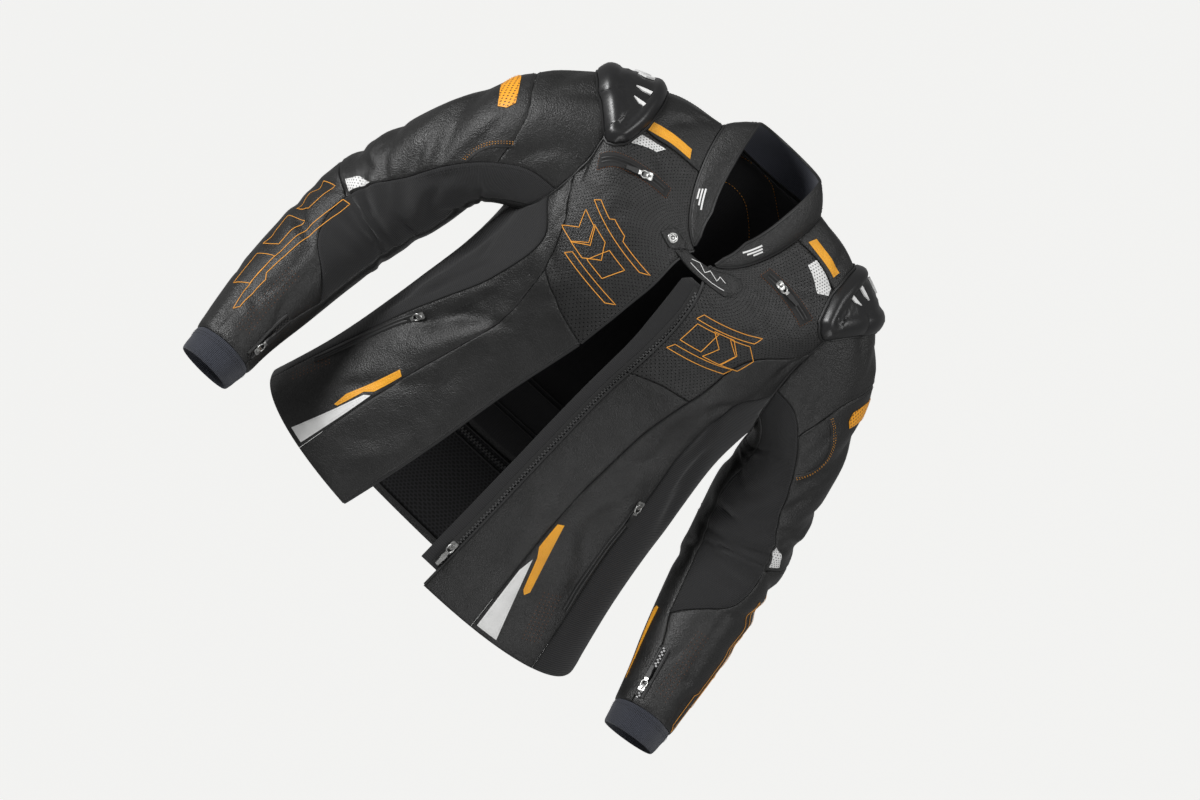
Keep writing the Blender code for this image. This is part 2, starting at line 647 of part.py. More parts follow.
def zip_pull(name, sheet, place, toward, stand_off):
    """A pull tab that hangs along the zip, its pivot at the slider."""
    point, out, along = local_frame(sheet, place, toward)
    across = np.cross(out, along)
    half = PULL_WIDTH / 2
    sections = []
    for way, width, thick in ((0.0, 0.55, 1), (0.006, 0.75, 1), (0.010, 0.5, 1), (0.014, 1, 1.2),
                              (PULL_LENGTH - 0.003, 1, 1.2), (PULL_LENGTH, 0.7, 1)):
        low = stand_off + GAP + PULL_LIFT * way / PULL_LENGTH
        sections.append((way, half * width, low, low + PULL_THICK * thick))
    return box_between(name, point, along, across, out, sections, "nickel")


def mirrored(rows, side):
    """Table rows with their angles signed for one side."""
    return [(first * side, second) for first, second in rows]


def front_pieces(side):
    """Chest, lower front, side front, side stretch and yoke of one side."""
    name = SIDE_NAMES[side]
    edge_rows = mirrored(FRONT_EDGE[side], side)
    edge_upper = smooth_line(edge_rows[:CHEST_POINT + 1], SEAM_STEP, BODY)
    edge_lower = smooth_line(edge_rows[CHEST_POINT:], SEAM_STEP, BODY)
    chest_end = edge_rows[CHEST_POINT]
    yoke_phi, princess_phi = YOKE_PHI[side], PRINCESS_PHI[side]
    side_phi, seam_phi = SIDE_EDGE_PHI[side], SIDE_SEAM_PHI[side]

    def hole(phi):
        angle, level = armhole_place(np.array([float(phi)]))
        return (angle[0] * side, level[0])
    yoke = smooth_line(mirrored(YOKE_FRONT[side], side) + [hole(yoke_phi)], SEAM_STEP, BODY)
    yoke_back = smooth_line([hole(YOKE_BACK_PHI)] + mirrored(YOKE_BACK, side), SEAM_STEP, BODY)
    princess_rows = [hole(princess_phi)] + mirrored(PRINCESS_UPPER[side], side)
    princess_upper = smooth_line(princess_rows, SEAM_STEP, BODY)
    princess_lower = smooth_line([princess_rows[-1]] + mirrored(PRINCESS_LOWER[side], side), SEAM_STEP, BODY)
    chest = smooth_line([princess_rows[-1]] + mirrored(CHEST_SEAM[side], side) + [chest_end], SEAM_STEP, BODY)
    side_edge = smooth_line([hole(side_phi)] + mirrored(SIDE_EDGE[side], side), SEAM_STEP, BODY)
    side_seam = smooth_line([hole(seam_phi)] + mirrored(SIDE_SEAM[side], side), SEAM_STEP, BODY)
    neck_front = smooth_line([edge_rows[0], yoke[0, :2]], SEAM_STEP, BODY)
    neck_side = smooth_line([yoke_back[-1, :2], yoke[0, :2]], SEAM_STEP, BODY)
    hem_front = smooth_line([princess_lower[-1, :2], edge_rows[-1]], SEAM_STEP, BODY)
    hem_side = smooth_line([side_edge[-1, :2], princess_lower[-1, :2]], SEAM_STEP, BODY)
    hem_stretch = smooth_line([side_seam[-1, :2], side_edge[-1, :2]], SEAM_STEP, BODY)
    laid = {key: polyline(mirrored(table[side], side), PATCH_STEP, BODY) for key, table in (
        ("white_shoulder", WHITE_SHOULDER), ("orange_shoulder", ORANGE_SHOULDER), ("white_hem", WHITE_HEM),
        ("orange_hem", ORANGE_HEM), ("chest_zip", CHEST_ZIP), ("pocket_zip", POCKET_ZIP))}

    chest_web = Web(BODY, join_lines(neck_front, yoke, armhole_line(yoke_phi, princess_phi, True, side),
                                     princess_upper, chest, edge_upper[::-1]),
                    inner=[laid["white_shoulder"], laid["chest_zip"]])
    cut_panel(f"chest_panel_{name}", chest_web, "black_leather")
    laid_piece(f"shoulder_patch_white_{name}", chest_web, laid["white_shoulder"], "white_leather")
    bulged_piece(f"chest_zip_{name}", chest_web, laid["chest_zip"], "black_rubber", 0.0012, 0.0018, 0.008)
    lower_web = Web(BODY, join_lines(chest[::-1], princess_lower, hem_front, edge_lower[::-1]))
    cut_panel(f"front_lower_{name}", lower_web, "black_leather")
    side_web = Web(BODY, join_lines(armhole_line(princess_phi, side_phi, True, side), side_edge, hem_side,
                                    princess_lower[::-1], princess_upper[::-1]),
                   inner=[laid["white_hem"], laid["orange_hem"], laid["pocket_zip"]])
    cut_panel(f"side_front_{name}", side_web, "black_leather")
    laid_piece(f"hem_patch_white_{name}", side_web, laid["white_hem"], "white_leather")
    laid_piece(f"hem_patch_orange_{name}", side_web, laid["orange_hem"], "orange_leather")
    bulged_piece(f"pocket_zip_{name}", side_web, laid["pocket_zip"], "black_rubber", 0.0010, 0.0014, 0.005)
    stretch_web = Web(BODY, join_lines(armhole_line(side_phi, seam_phi, True, side), side_seam, hem_stretch,
                                       side_edge[::-1]))
    cut_panel(f"side_stretch_{name}", stretch_web, "stretch_fabric", FABRIC, 0.0002)
    yoke_web = Web(BODY, join_lines(neck_side, yoke, armhole_line(yoke_phi, YOKE_BACK_PHI, True, side),
                                    yoke_back), inner=[laid["orange_shoulder"]])
    cut_panel(f"shoulder_yoke_{name}", yoke_web, "black_leather")
    laid_piece(f"shoulder_patch_orange_{name}", yoke_web, laid["orange_shoulder"], "orange_leather")
    return side_seam, yoke_back


def back_panel(right_lines, left_lines):
    """The back, from one side seam round to the other, with the lining and mesh on its inner face."""
    def turned(line):
        moved = line.copy()
        moved[:, 0] = np.where(moved[:, 0] < 0, moved[:, 0] + 360, moved[:, 0])
        return moved
    right_seam, right_yoke = (turned(line) for line in right_lines)
    left_seam, left_yoke = left_lines
    right_hole = turned(armhole_line(YOKE_BACK_PHI, SIDE_SEAM_PHI[RIGHT] - 360, True, RIGHT))
    left_hole = armhole_line(SIDE_SEAM_PHI[LEFT] - 360, YOKE_BACK_PHI, True, LEFT)
    hem = smooth_line([left_seam[-1, :2], (180, 0), right_seam[-1, :2]], SEAM_STEP, BODY)
    neck = smooth_line([left_yoke[-1, :2], (180, NECK_LEVEL), right_yoke[-1, :2]], SEAM_STEP, BODY)
    outline = join_lines(left_seam[::-1], left_hole, left_yoke, neck, right_yoke[::-1], right_hole,
                         right_seam, hem[::-1])
    lining = polyline(LINING_OUTLINE, SEAM_STEP, BODY)
    mesh = polyline(MESH_OUTLINE, SEAM_STEP, BODY)
    web = Web(BODY, outline, inner=[lining, mesh])
    cut_panel("back_panel", web, "black_leather")
    inner_face = -LEATHER - GAP
    wall("back_lining", web, web.part(lining), inner_face - FABRIC, inner_face, "lining_fabric")
    wall("lining_mesh", web, web.part(mesh), inner_face - FABRIC, inner_face, "lining_fabric")


def sleeve_pieces(side):
    """The cut pieces of one sleeve, its cup, patches and cuff zip."""
    name = SIDE_NAMES[side]
    sheet = SLEEVES[side]
    back_phi = INNER_SEAM_PHI - 360

    def line(rows):
        return smooth_line(mirrored(rows, side), SEAM_STEP, sheet)

    def inner_seam(first, last, phi):
        return line(((phi, first), (phi, last)))
    stretch_upper = line(((STRETCH_TOP_PHI, 0),) + STRETCH_UPPER)
    cap_seam = line((STRETCH_UPPER[-1],) + CAP_SEAM)
    stretch_middle = line((STRETCH_UPPER[-1],) + STRETCH_MIDDLE)
    stretch_lower = line((STRETCH_MIDDLE[-1],) + STRETCH_LOWER)
    strip_upper = line(((STRIP_TOP_PHI, 0),) + STRIP_UPPER)
    strip_lower = line((STRIP_UPPER[-1],) + STRIP_LOWER)
    elbow = line((STRETCH_MIDDLE[-1],) + ELBOW_SEAM)
    cap_level, elbow_level = CAP_SEAM[-1][1], ELBOW_SEAM[-1][1]
    patches = {key: polyline(mirrored(rows, side), PATCH_STEP, sheet) for key, rows in (
        ("orange", ORANGE_SLEEVE), ("white", WHITE_ELBOW), ("forearm", ORANGE_FOREARM), ("zip", CUFF_ZIP))}

    cap_web = Web(sheet, join_lines(armhole_line(back_phi, STRETCH_TOP_PHI, False, side), stretch_upper,
                                    cap_seam, inner_seam(cap_level, 0, back_phi)))
    cut_panel(f"sleeve_cap_{name}", cap_web, "black_leather")
    shoulder_cup(side)
    outer_web = Web(sheet, join_lines(cap_seam[::-1], stretch_middle, elbow,
                                      inner_seam(elbow_level, cap_level, back_phi)),
                    inner=[patches["orange"], patches["white"]])
    cut_panel(f"sleeve_outer_{name}", outer_web, "black_leather")
    laid_piece(f"sleeve_patch_orange_{name}", outer_web, patches["orange"], "orange_leather")
    laid_piece(f"elbow_patch_white_{name}", outer_web, patches["white"], "white_leather")
    stretch_hole = armhole_line(STRETCH_TOP_PHI, STRIP_TOP_PHI, False, side)
    stretch_web = Web(sheet, join_lines(stretch_hole, strip_upper, stretch_lower[::-1], stretch_middle[::-1],
                                        stretch_upper[::-1]))
    cut_panel(f"sleeve_stretch_{name}", stretch_web, "stretch_fabric", FABRIC, 0.0002)
    strip_ends = [inner_seam(first, last, INNER_SEAM_PHI) for first, last in (
        (0, cap_level), (cap_level, elbow_level), (elbow_level, SLEEVE_LENGTH))]
    strip_hem = line(((INNER_SEAM_PHI, SLEEVE_LENGTH), STRIP_LOWER[-1]))
    forearm_patch = [patches["forearm"]] if side == LEFT else []
    strip_web = Web(sheet, join_lines(armhole_line(STRIP_TOP_PHI, INNER_SEAM_PHI, False, side), *strip_ends,
                                      strip_hem, strip_lower[::-1], strip_upper[::-1]), inner=forearm_patch)
    cut_panel(f"sleeve_strip_{name}", strip_web, "black_leather")
    for loop in forearm_patch:
        laid_piece(f"forearm_patch_orange_{name}", strip_web, loop, "orange_leather")
    forearm_hem = line((STRIP_LOWER[-1], (back_phi, SLEEVE_LENGTH)))
    forearm_web = Web(sheet, join_lines(elbow[::-1], stretch_lower, strip_lower, forearm_hem,
                                        inner_seam(SLEEVE_LENGTH, elbow_level, back_phi)),
                      inner=[patches["zip"]])
    cut_panel(f"forearm_{name}", forearm_web, "black_leather")
    bulged_piece(f"cuff_zip_{name}", forearm_web, patches["zip"], "black_rubber", 0.0010, 0.0012, 0.004)
    cuff_web = Web(sheet, join_lines(line(((back_phi, SLEEVE_LENGTH), (INNER_SEAM_PHI, SLEEVE_LENGTH))),
                                     inner_seam(SLEEVE_LENGTH, CUFF_END, INNER_SEAM_PHI),
                                     line(((INNER_SEAM_PHI, CUFF_END), (back_phi, CUFF_END))),
                                     inner_seam(CUFF_END, SLEEVE_LENGTH, back_phi)))
    cut_panel(f"knit_cuff_{name}", cuff_web, "navy_fabric", 0.0018, 0.0006)
    zip_pull(f"cuff_pull_{name}", sheet, (122 * side, 0.512), (121 * side, 0.470), 0.0012)


def shoulder_cup(side):
    """Moulded cup that lies over the armhole seam, with a bevelled edge round a raised middle."""
    sheet = Sheet(shoulder_surface(side), ARM_RADIAN, 1.0)
    outline = counter_clockwise(polyline(mirrored(CUP_OUTLINE, side), PATCH_STEP, sheet), sheet)
    web = Web(sheet, outline, step=CUP_STEP, inner=[pull_in(outline, sheet, way) for way in CUP_RING_WAYS])
    inwards = np.clip(distance_to_loop(web.flat, sheet.flat(outline)) / CUP_BEVEL, 0, 1)
    high = CUP_SEAT + CUP_RIM + CUP_RISE * np.sin(inwards * pi / 2)
    wall(f"shoulder_cup_{SIDE_NAMES[side]}", web, web.faces, CUP_SEAT, high, "moulded_plastic")


def collar_pieces():
    outline = polyline(COLLAR_OUTLINE, SEAM_STEP, COLLAR)
    web = Web(COLLAR, outline, step=0.018)
    cut_panel("collar_outer", web, "black_leather")
    cut_panel("collar_lining", web, "navy_fabric", FABRIC, LEATHER + GAP)


def neck_pieces():
    """Neck tab with its snap, and the strap that crosses the opening."""
    tab_web = Web(BODY, polyline(NECK_TAB, 0.010, BODY), step=0.012)
    wall("neck_tab", tab_web, tab_web.faces, GAP, GAP + 0.0016, "black_leather")
    strap_web = Web(BODY, polyline(NECK_STRAP, 0.010, BODY), step=0.012)
    wall("neck_strap", strap_web, strap_web.faces, STRAP_SEAT, STRAP_SEAT + STRAP_LIFT, "black_leather")
    point, out, _ = local_frame(BODY, SNAP_PLACE, (SNAP_PLACE[0] + 2, SNAP_PLACE[1]))
    bpy.ops.mesh.primitive_cylinder_add(vertices=20, radius=SNAP_RADIUS, depth=SNAP_HEIGHT)
    snap = bpy.context.object
    snap.name = "neck_snap"
    snap.rotation_euler = Vector(out).to_track_quat("Z", "Y").to_euler()
    snap.location = Vector(point + out * (0.0016 + 3 * GAP + SNAP_HEIGHT / 2))
    snap.data.materials.append(material("nickel"))


def front_closure():
    """Wind flap behind the left front, and the zip half that lies on it."""
    zip_loop = polyline(ZIP_OUTLINE, SEAM_STEP, BODY)
    depth = LEATHER + FLAP_CLEARANCE
    web = Web(BODY, polyline(FLAP_OUTLINE, SEAM_STEP, BODY), inner=[zip_loop])
    cut_panel("wind_flap", web, "lining_fabric", FABRIC, depth)
    laid_piece("main_zip", web, zip_loop, "black_rubber", 0.0012, depth)
    zip_pull("main_pull", BODY, (4.3, 0.052), (4.1, 0.0), -0.0011)


def clear_scene():
    for made in list(bpy.data.objects):
        bpy.data.objects.remove(made)


def main():
    clear_scene()
    right_lines = front_pieces(RIGHT)
    left_lines = front_pieces(LEFT)
    back_panel(right_lines, left_lines)
    for side in (RIGHT, LEFT):
        sleeve_pieces(side)
        name = SIDE_NAMES[side]
        rows = CHEST_ZIP[side]
        middle = ((rows[1][0] + rows[2][0]) / 2 * side, (rows[1][1] + rows[2][1]) / 2)
        far = ((rows[0][0] + rows[3][0]) / 2 * side, (rows[0][1] + rows[3][1]) / 2)
        start = (middle[0] + (far[0] - middle[0]) * 0.3, middle[1] + (far[1] - middle[1]) * 0.3)
        zip_pull(f"chest_pull_{name}", BODY, start, far, 0.0014)
        rows = POCKET_ZIP[side]
        top = ((rows[0][0] + rows[-1][0]) / 2 * side, (rows[0][1] + rows[-1][1]) / 2 - 0.006)
        low = ((rows[1][0] + rows[-2][0]) / 2 * side, (rows[1][1] + rows[-2][1]) / 2)
        zip_pull(f"pocket_pull_{name}", BODY, top, low, 0.0016)
    collar_pieces()
    neck_pieces()
    front_closure()


main()
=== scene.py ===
"""Looks of the leather motorcycle jacket: fine cloth shells, zips, stitching, materials and light."""
from math import cos, pi, radians, sin

import bmesh
import bpy
import numpy as np
from mathutils import Matrix, Vector
from mathutils.geometry import delaunay_2d_cdt


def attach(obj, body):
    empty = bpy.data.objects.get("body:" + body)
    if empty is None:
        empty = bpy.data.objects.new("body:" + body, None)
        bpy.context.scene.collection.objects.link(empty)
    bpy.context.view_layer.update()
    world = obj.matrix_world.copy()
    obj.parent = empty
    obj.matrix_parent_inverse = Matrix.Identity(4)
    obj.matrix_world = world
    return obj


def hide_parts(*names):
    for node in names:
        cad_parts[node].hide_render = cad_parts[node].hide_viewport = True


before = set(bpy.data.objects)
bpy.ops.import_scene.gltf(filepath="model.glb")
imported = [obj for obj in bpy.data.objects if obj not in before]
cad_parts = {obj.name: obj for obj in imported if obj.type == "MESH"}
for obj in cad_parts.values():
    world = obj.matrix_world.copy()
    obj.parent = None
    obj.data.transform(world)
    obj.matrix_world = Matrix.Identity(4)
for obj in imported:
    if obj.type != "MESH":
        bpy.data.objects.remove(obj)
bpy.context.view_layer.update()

# Cloth walls and clearances
LEATHER = 0.0016
FABRIC = 0.0012
PATCH = 0.0012
GAP = 0.0003
SEAM_INSET = 0.0002
MESH_STEP = 0.0062
SEAM_STEP = 0.006
PATCH_STEP = 0.004
RIGHT, LEFT = -1, 1
SIDE_NAMES = {RIGHT: "right", LEFT: "left"}

# Body: one row for each section, level is the way up from the hem
SKIRT_LEAN = 0.06
SKIRT_TOP = 0.25
NECK_LEVEL = 0.665
LENGTH_PER_RADIAN = 0.17
# Columns: level, half width, front depth, back depth, front z, side z, back z, squareness
BODY_ROWS = (
    (0.000, 0.262, 0.118, 0.100, -0.625, -0.612, -0.668, 2.3),
    (0.080, 0.238, 0.114, 0.094, -0.530, -0.526, -0.564, 2.3),
    (0.220, 0.211, 0.108, 0.086, -0.385, -0.380, -0.395, 2.3),
    (0.300, 0.199, 0.115, 0.090, -0.300, -0.300, -0.310, 2.3),
    (0.380, 0.198, 0.130, 0.106, -0.225, -0.222, -0.225, 2.4),
    (0.480, 0.192, 0.122, 0.112, -0.165, -0.118, -0.123, 2.5),
    (0.552, 0.185, 0.106, 0.104, -0.128, -0.042, -0.058, 2.5),
    (0.600, 0.145, 0.096, 0.092, -0.116, -0.012, -0.028, 2.3),
    (0.665, 0.078, 0.088, 0.078, -0.107, 0.004, -0.018, 2.0),
)

# Armhole: a loop on the body, phi runs from its top over the front
ARMHOLE_LEVEL = 0.475
ARMHOLE_HALF_HEIGHT = 0.107
ARMHOLE_HALF_ANGLE = 30.0
ARMHOLE_POWER = 0.85

# Sleeve: one row for each section of the wearer's left arm, along is the way from the armhole
ARM_SWING = {RIGHT: 0.014, LEFT: -0.004}
SLEEVE_LENGTH = 0.527
CUFF_END = 0.558
SHOULDER_LIFT = 0.9
UNDERARM_LIFT = 0.55
SHOULDER_BEND = 1.1
SHOULDER_WAY = (0.97, 0.0, -0.22)
ARM_OUTWARD = (1.0, 0.0, 0.25)
ARM_RADIAN = 0.066
# Columns: along, x, y, z, outer radius, front radius
ARM_ROWS = (
    (0.170, 0.271, 0.004, -0.258, 0.061, 0.064),
    (0.228, 0.285, 0.010, -0.315, 0.064, 0.066),
    (0.280, 0.300, 0.008, -0.365, 0.063, 0.066),
    (0.353, 0.314, -0.022, -0.430, 0.058, 0.062),
    (0.425, 0.324, -0.064, -0.487, 0.052, 0.055),
    (0.485, 0.330, -0.104, -0.532, 0.044, 0.046),
    (0.527, 0.332, -0.134, -0.562, 0.039, 0.041),
    (0.558, 0.334, -0.150, -0.588, 0.035, 0.036),
)

# Collar: its top ring, which leans in from the neck ring of the body
COLLAR_HALF_WIDTH = 0.050
COLLAR_FRONT = 0.074
COLLAR_BACK = 0.058
COLLAR_FRONT_Z = -0.082
COLLAR_SIDE_Z = 0.034
COLLAR_BACK_Z = 0.027
COLLAR_HEIGHT = 0.034
COLLAR_BULGE = 0.003
COLLAR_RADIAN = 0.075

# Largest folds, in metres and degrees
# Columns: angle, level, direction of the run, half length, half width, depth
BODY_FOLDS = (
    (-50, 0.235, 58, 0.060, 0.017, -0.008),
    (-40, 0.215, 66, 0.050, 0.014, 0.004),
    (-76, 0.330, 75, 0.050, 0.014, -0.005),
    (64, 0.255, 112, 0.055, 0.016, -0.006),
    (40, 0.215, 110, 0.045, 0.014, 0.003),
    (-56, 0.610, 20, 0.035, 0.012, -0.004),
    (60, 0.605, 160, 0.035, 0.012, -0.003),
    (140, 0.235, 10, 0.060, 0.016, -0.006),
    (214, 0.250, 170, 0.065, 0.016, -0.006),
    (170, 0.205, 2, 0.050, 0.014, -0.004),
)
SLEEVE_FOLDS = (
    (20, 0.125, 15, 0.050, 0.014, -0.006),
    (78, 0.200, 40, 0.045, 0.013, -0.005),
    (110, 0.265, 8, 0.050, 0.012, -0.006),
    (100, 0.310, 172, 0.045, 0.012, -0.005),
    (150, 0.240, 14, 0.040, 0.011, -0.004),
    (-60, 0.150, 168, 0.050, 0.015, -0.005),
    (-90, 0.290, 4, 0.050, 0.014, -0.004),
)

# Seams of the fronts: angle from the middle and level, one list for each side
FRONT_EDGE = {
    RIGHT: ((9, 0.665), (4.5, 0.567), (6, 0.410), (8, 0.329), (12, 0.241), (16, 0.116), (20, 0.0)),
    LEFT: ((8, 0.665), (3.5, 0.575), (5, 0.486), (5.5, 0.345), (6, 0.210), (6, 0.116), (5.5, 0.0)),
}
CHEST_POINT = 3
YOKE_FRONT = {
    RIGHT: ((58.5, 0.665), (60.5, 0.640), (63.5, 0.600)),
    LEFT: ((68, 0.665), (70, 0.640), (70, 0.600)),
}
YOKE_PHI = {RIGHT: 35, LEFT: 32}
YOKE_BACK = ((108, 0.625), (114, 0.665))
YOKE_BACK_PHI = -24
PRINCESS_PHI = {RIGHT: 90, LEFT: 75}
PRINCESS_UPPER = {RIGHT: ((46, 0.441), (35, 0.366)), LEFT: ((37, 0.490), (27, 0.366))}
PRINCESS_LOWER = {
    RIGHT: ((33, 0.270), (35, 0.228), (39, 0.165), (42, 0.080), (42, 0.0)),
    LEFT: ((24, 0.263), (22.5, 0.200), (22, 0.147), (22, 0.070), (22, 0.0)),
}
CHEST_SEAM = {RIGHT: ((22, 0.345),), LEFT: ((15, 0.360),)}
SIDE_EDGE_PHI = {RIGHT: 112, LEFT: 108}
SIDE_EDGE = {
    RIGHT: ((47, 0.403), (50, 0.308), (60, 0.238), (66, 0.200), (75, 0.130), (82, 0.063), (83, 0.0)),
    LEFT: ((46, 0.403), (44, 0.340), (47, 0.238), (48, 0.140), (50, 0.063), (50, 0.0)),
}
SIDE_SEAM_PHI = {RIGHT: 160, LEFT: 180}
SIDE_SEAM = {
    RIGHT: ((86, 0.330), (93, 0.290), (95, 0.220), (97, 0.120), (100, 0.0)),
    LEFT: ((92, 0.300), (95, 0.220), (98, 0.120), (102, 0.0)),
}

# Seams of the sleeves: phi and way along, the same on both arms
STRETCH_TOP_PHI = 104
STRIP_TOP_PHI = 134
INNER_SEAM_PHI = 186
CAP_SEAM = ((60, 0.070), (20, 0.078), (-40, 0.082), (-110, 0.066), (-174, 0.030))
STRETCH_UPPER = ((94, 0.050), (92, 0.085))
STRETCH_MIDDLE = ((88, 0.128), (76, 0.184), (62, 0.236), (56, 0.290))
STRETCH_LOWER = ((58, 0.335), (72, 0.364), (98, 0.384), (138, 0.408))
STRIP_UPPER = ((140, 0.090), (148, 0.204), (140, 0.336), (138, 0.408))
STRIP_LOWER = ((128, 0.444), (130, 0.527))
ELBOW_SEAM = ((20, 0.278), (-60, 0.272), (-120, 0.268), (-174, 0.262))

# Patches and panels' raised pieces, in the same measures
WHITE_SHOULDER = {
    RIGHT: ((60, 0.617), (57, 0.606), (57.5, 0.572), (62.5, 0.5835)),
    LEFT: ((69.5, 0.634), (64, 0.634), (61, 0.598), (66, 0.590), (69, 0.596)),
}
ORANGE_SHOULDER = {
    RIGHT: ((61.6, 0.648), (66.5, 0.646), (70.5, 0.594), (66, 0.590)),
    LEFT: ((72, 0.655), (77, 0.652), (77, 0.606), (72.5, 0.606)),
}
WHITE_HEM = {
    RIGHT: ((42.6, 0.102), (44.5, 0.096), (50, 0.006), (43.2, 0.006)),
    LEFT: ((22.8, 0.078), (24, 0.096), (31, 0.006), (23.2, 0.006)),
}
ORANGE_HEM = {
    RIGHT: ((41, 0.146), (43.5, 0.150), (49.2, 0.080), (48.4, 0.062), (47.2, 0.064), (45.6, 0.098),
            (43, 0.108)),
    LEFT: ((23, 0.146), (25, 0.150), (30.5, 0.066), (29.3, 0.060), (28, 0.064), (25, 0.100), (23, 0.112)),
}
CHEST_ZIP = {
    RIGHT: ((56, 0.526), (42.5, 0.630), (36.5, 0.621), (50.5, 0.516)),
    LEFT: ((53.5, 0.570), (46, 0.650), (39, 0.644), (46.5, 0.562)),
}
POCKET_ZIP = {
    RIGHT: ((62, 0.216), (72.5, 0.130), (79, 0.066), (75.5, 0.063), (69, 0.126), (58.5, 0.211)),
    LEFT: ((45.9, 0.228), (46.9, 0.140), (48.8, 0.070), (45.6, 0.068), (43.7, 0.140), (42.6, 0.228)),
}
ORANGE_SLEEVE = ((-14, 0.094), (40, 0.084), (44, 0.090), (40, 0.098), (-14, 0.108))
WHITE_ELBOW = ((46, 0.252), (59, 0.240), (54, 0.278), (40, 0.274))
ORANGE_FOREARM = ((162, 0.404), (168, 0.401), (174, 0.404), (173.5, 0.440), (173, 0.500), (171, 0.480),
                  (166, 0.440))
CUFF_ZIP = ((126, 0.450), (127.5, 0.522), (115.5, 0.522), (113, 0.455))
CUP_OUTLINE = ((62, -0.014), (60, -0.024), (54, -0.030), (46, -0.027), (22, -0.017), (0, -0.011),
               (-24, -0.011), (-46, -0.015), (-58, -0.010), (-63, 0.002), (-58, 0.014), (-40, 0.030),
               (-20, 0.039), (0, 0.040), (20, 0.032), (40, 0.017), (56, 0.004), (61, -0.004))
CUP_SEAT = 0.0011
CUP_RIM = 0.0040
CUP_RISE = 0.0090
ARMHOLE_REACH = 0.095

# Neck tab, strap and wind flap
NECK_TAB = ((-22, 0.628), (-17, 0.582), (-9, 0.572), (-8.5, 0.622), (-14, 0.640))
NECK_STRAP = ((-8, 0.624), (-8, 0.580), (0, 0.570), (12, 0.572), (22, 0.608), (26.5, 0.638), (20, 0.652),
              (4, 0.642))
STRAP_LIFT = 0.0022
FLAP_CLEARANCE = 0.0011
FLAP_OUTLINE = ((9, 0.560), (9, 0.020), (1, 0.020), (1, 0.178), (0.5, 0.300), (0, 0.410), (-0.5, 0.540),
                (0.5, 0.560))
ZIP_OUTLINE = ((3.4, 0.545), (4.4, 0.486), (4.9, 0.345), (5.4, 0.210), (5.4, 0.116), (5.0, 0.024),
               (3.3, 0.024), (3.7, 0.116), (3.7, 0.210), (3.2, 0.345), (2.9, 0.486), (1.8, 0.545))
SNAP_PLACE = (-14.5, 0.602)

# Back lining and the mesh below it
LINING_OUTLINE = ((106, 0.140), (102, 0.330), (126, 0.390), (128, 0.520), (120, 0.600), (118, 0.656),
                  (242, 0.656), (240, 0.600), (232, 0.520), (234, 0.390), (258, 0.330), (254, 0.140),
                  (180, 0.128))
MESH_OUTLINE = ((107, 0.132), (180, 0.120), (253, 0.132), (252, 0.008), (180, 0.006), (108, 0.008))

# Collar outline, as angle and height share
COLLAR_OUTLINE = ((12, 0.035), (16, 0.45), (30, 0.92), (60, 1.0), (120, 1.0), (180, 1.0), (240, 1.0),
                  (300, 1.0), (330, 0.92), (344, 0.45), (348, 0.035), (300, 0.035), (240, 0.035),
                  (180, 0.035), (120, 0.035), (60, 0.035))

# Zip pulls: length and thickness of the tab, and its lift at the end
PULL_LENGTH = 0.030
PULL_THICK = 0.0022
PULL_LIFT = 0.0040

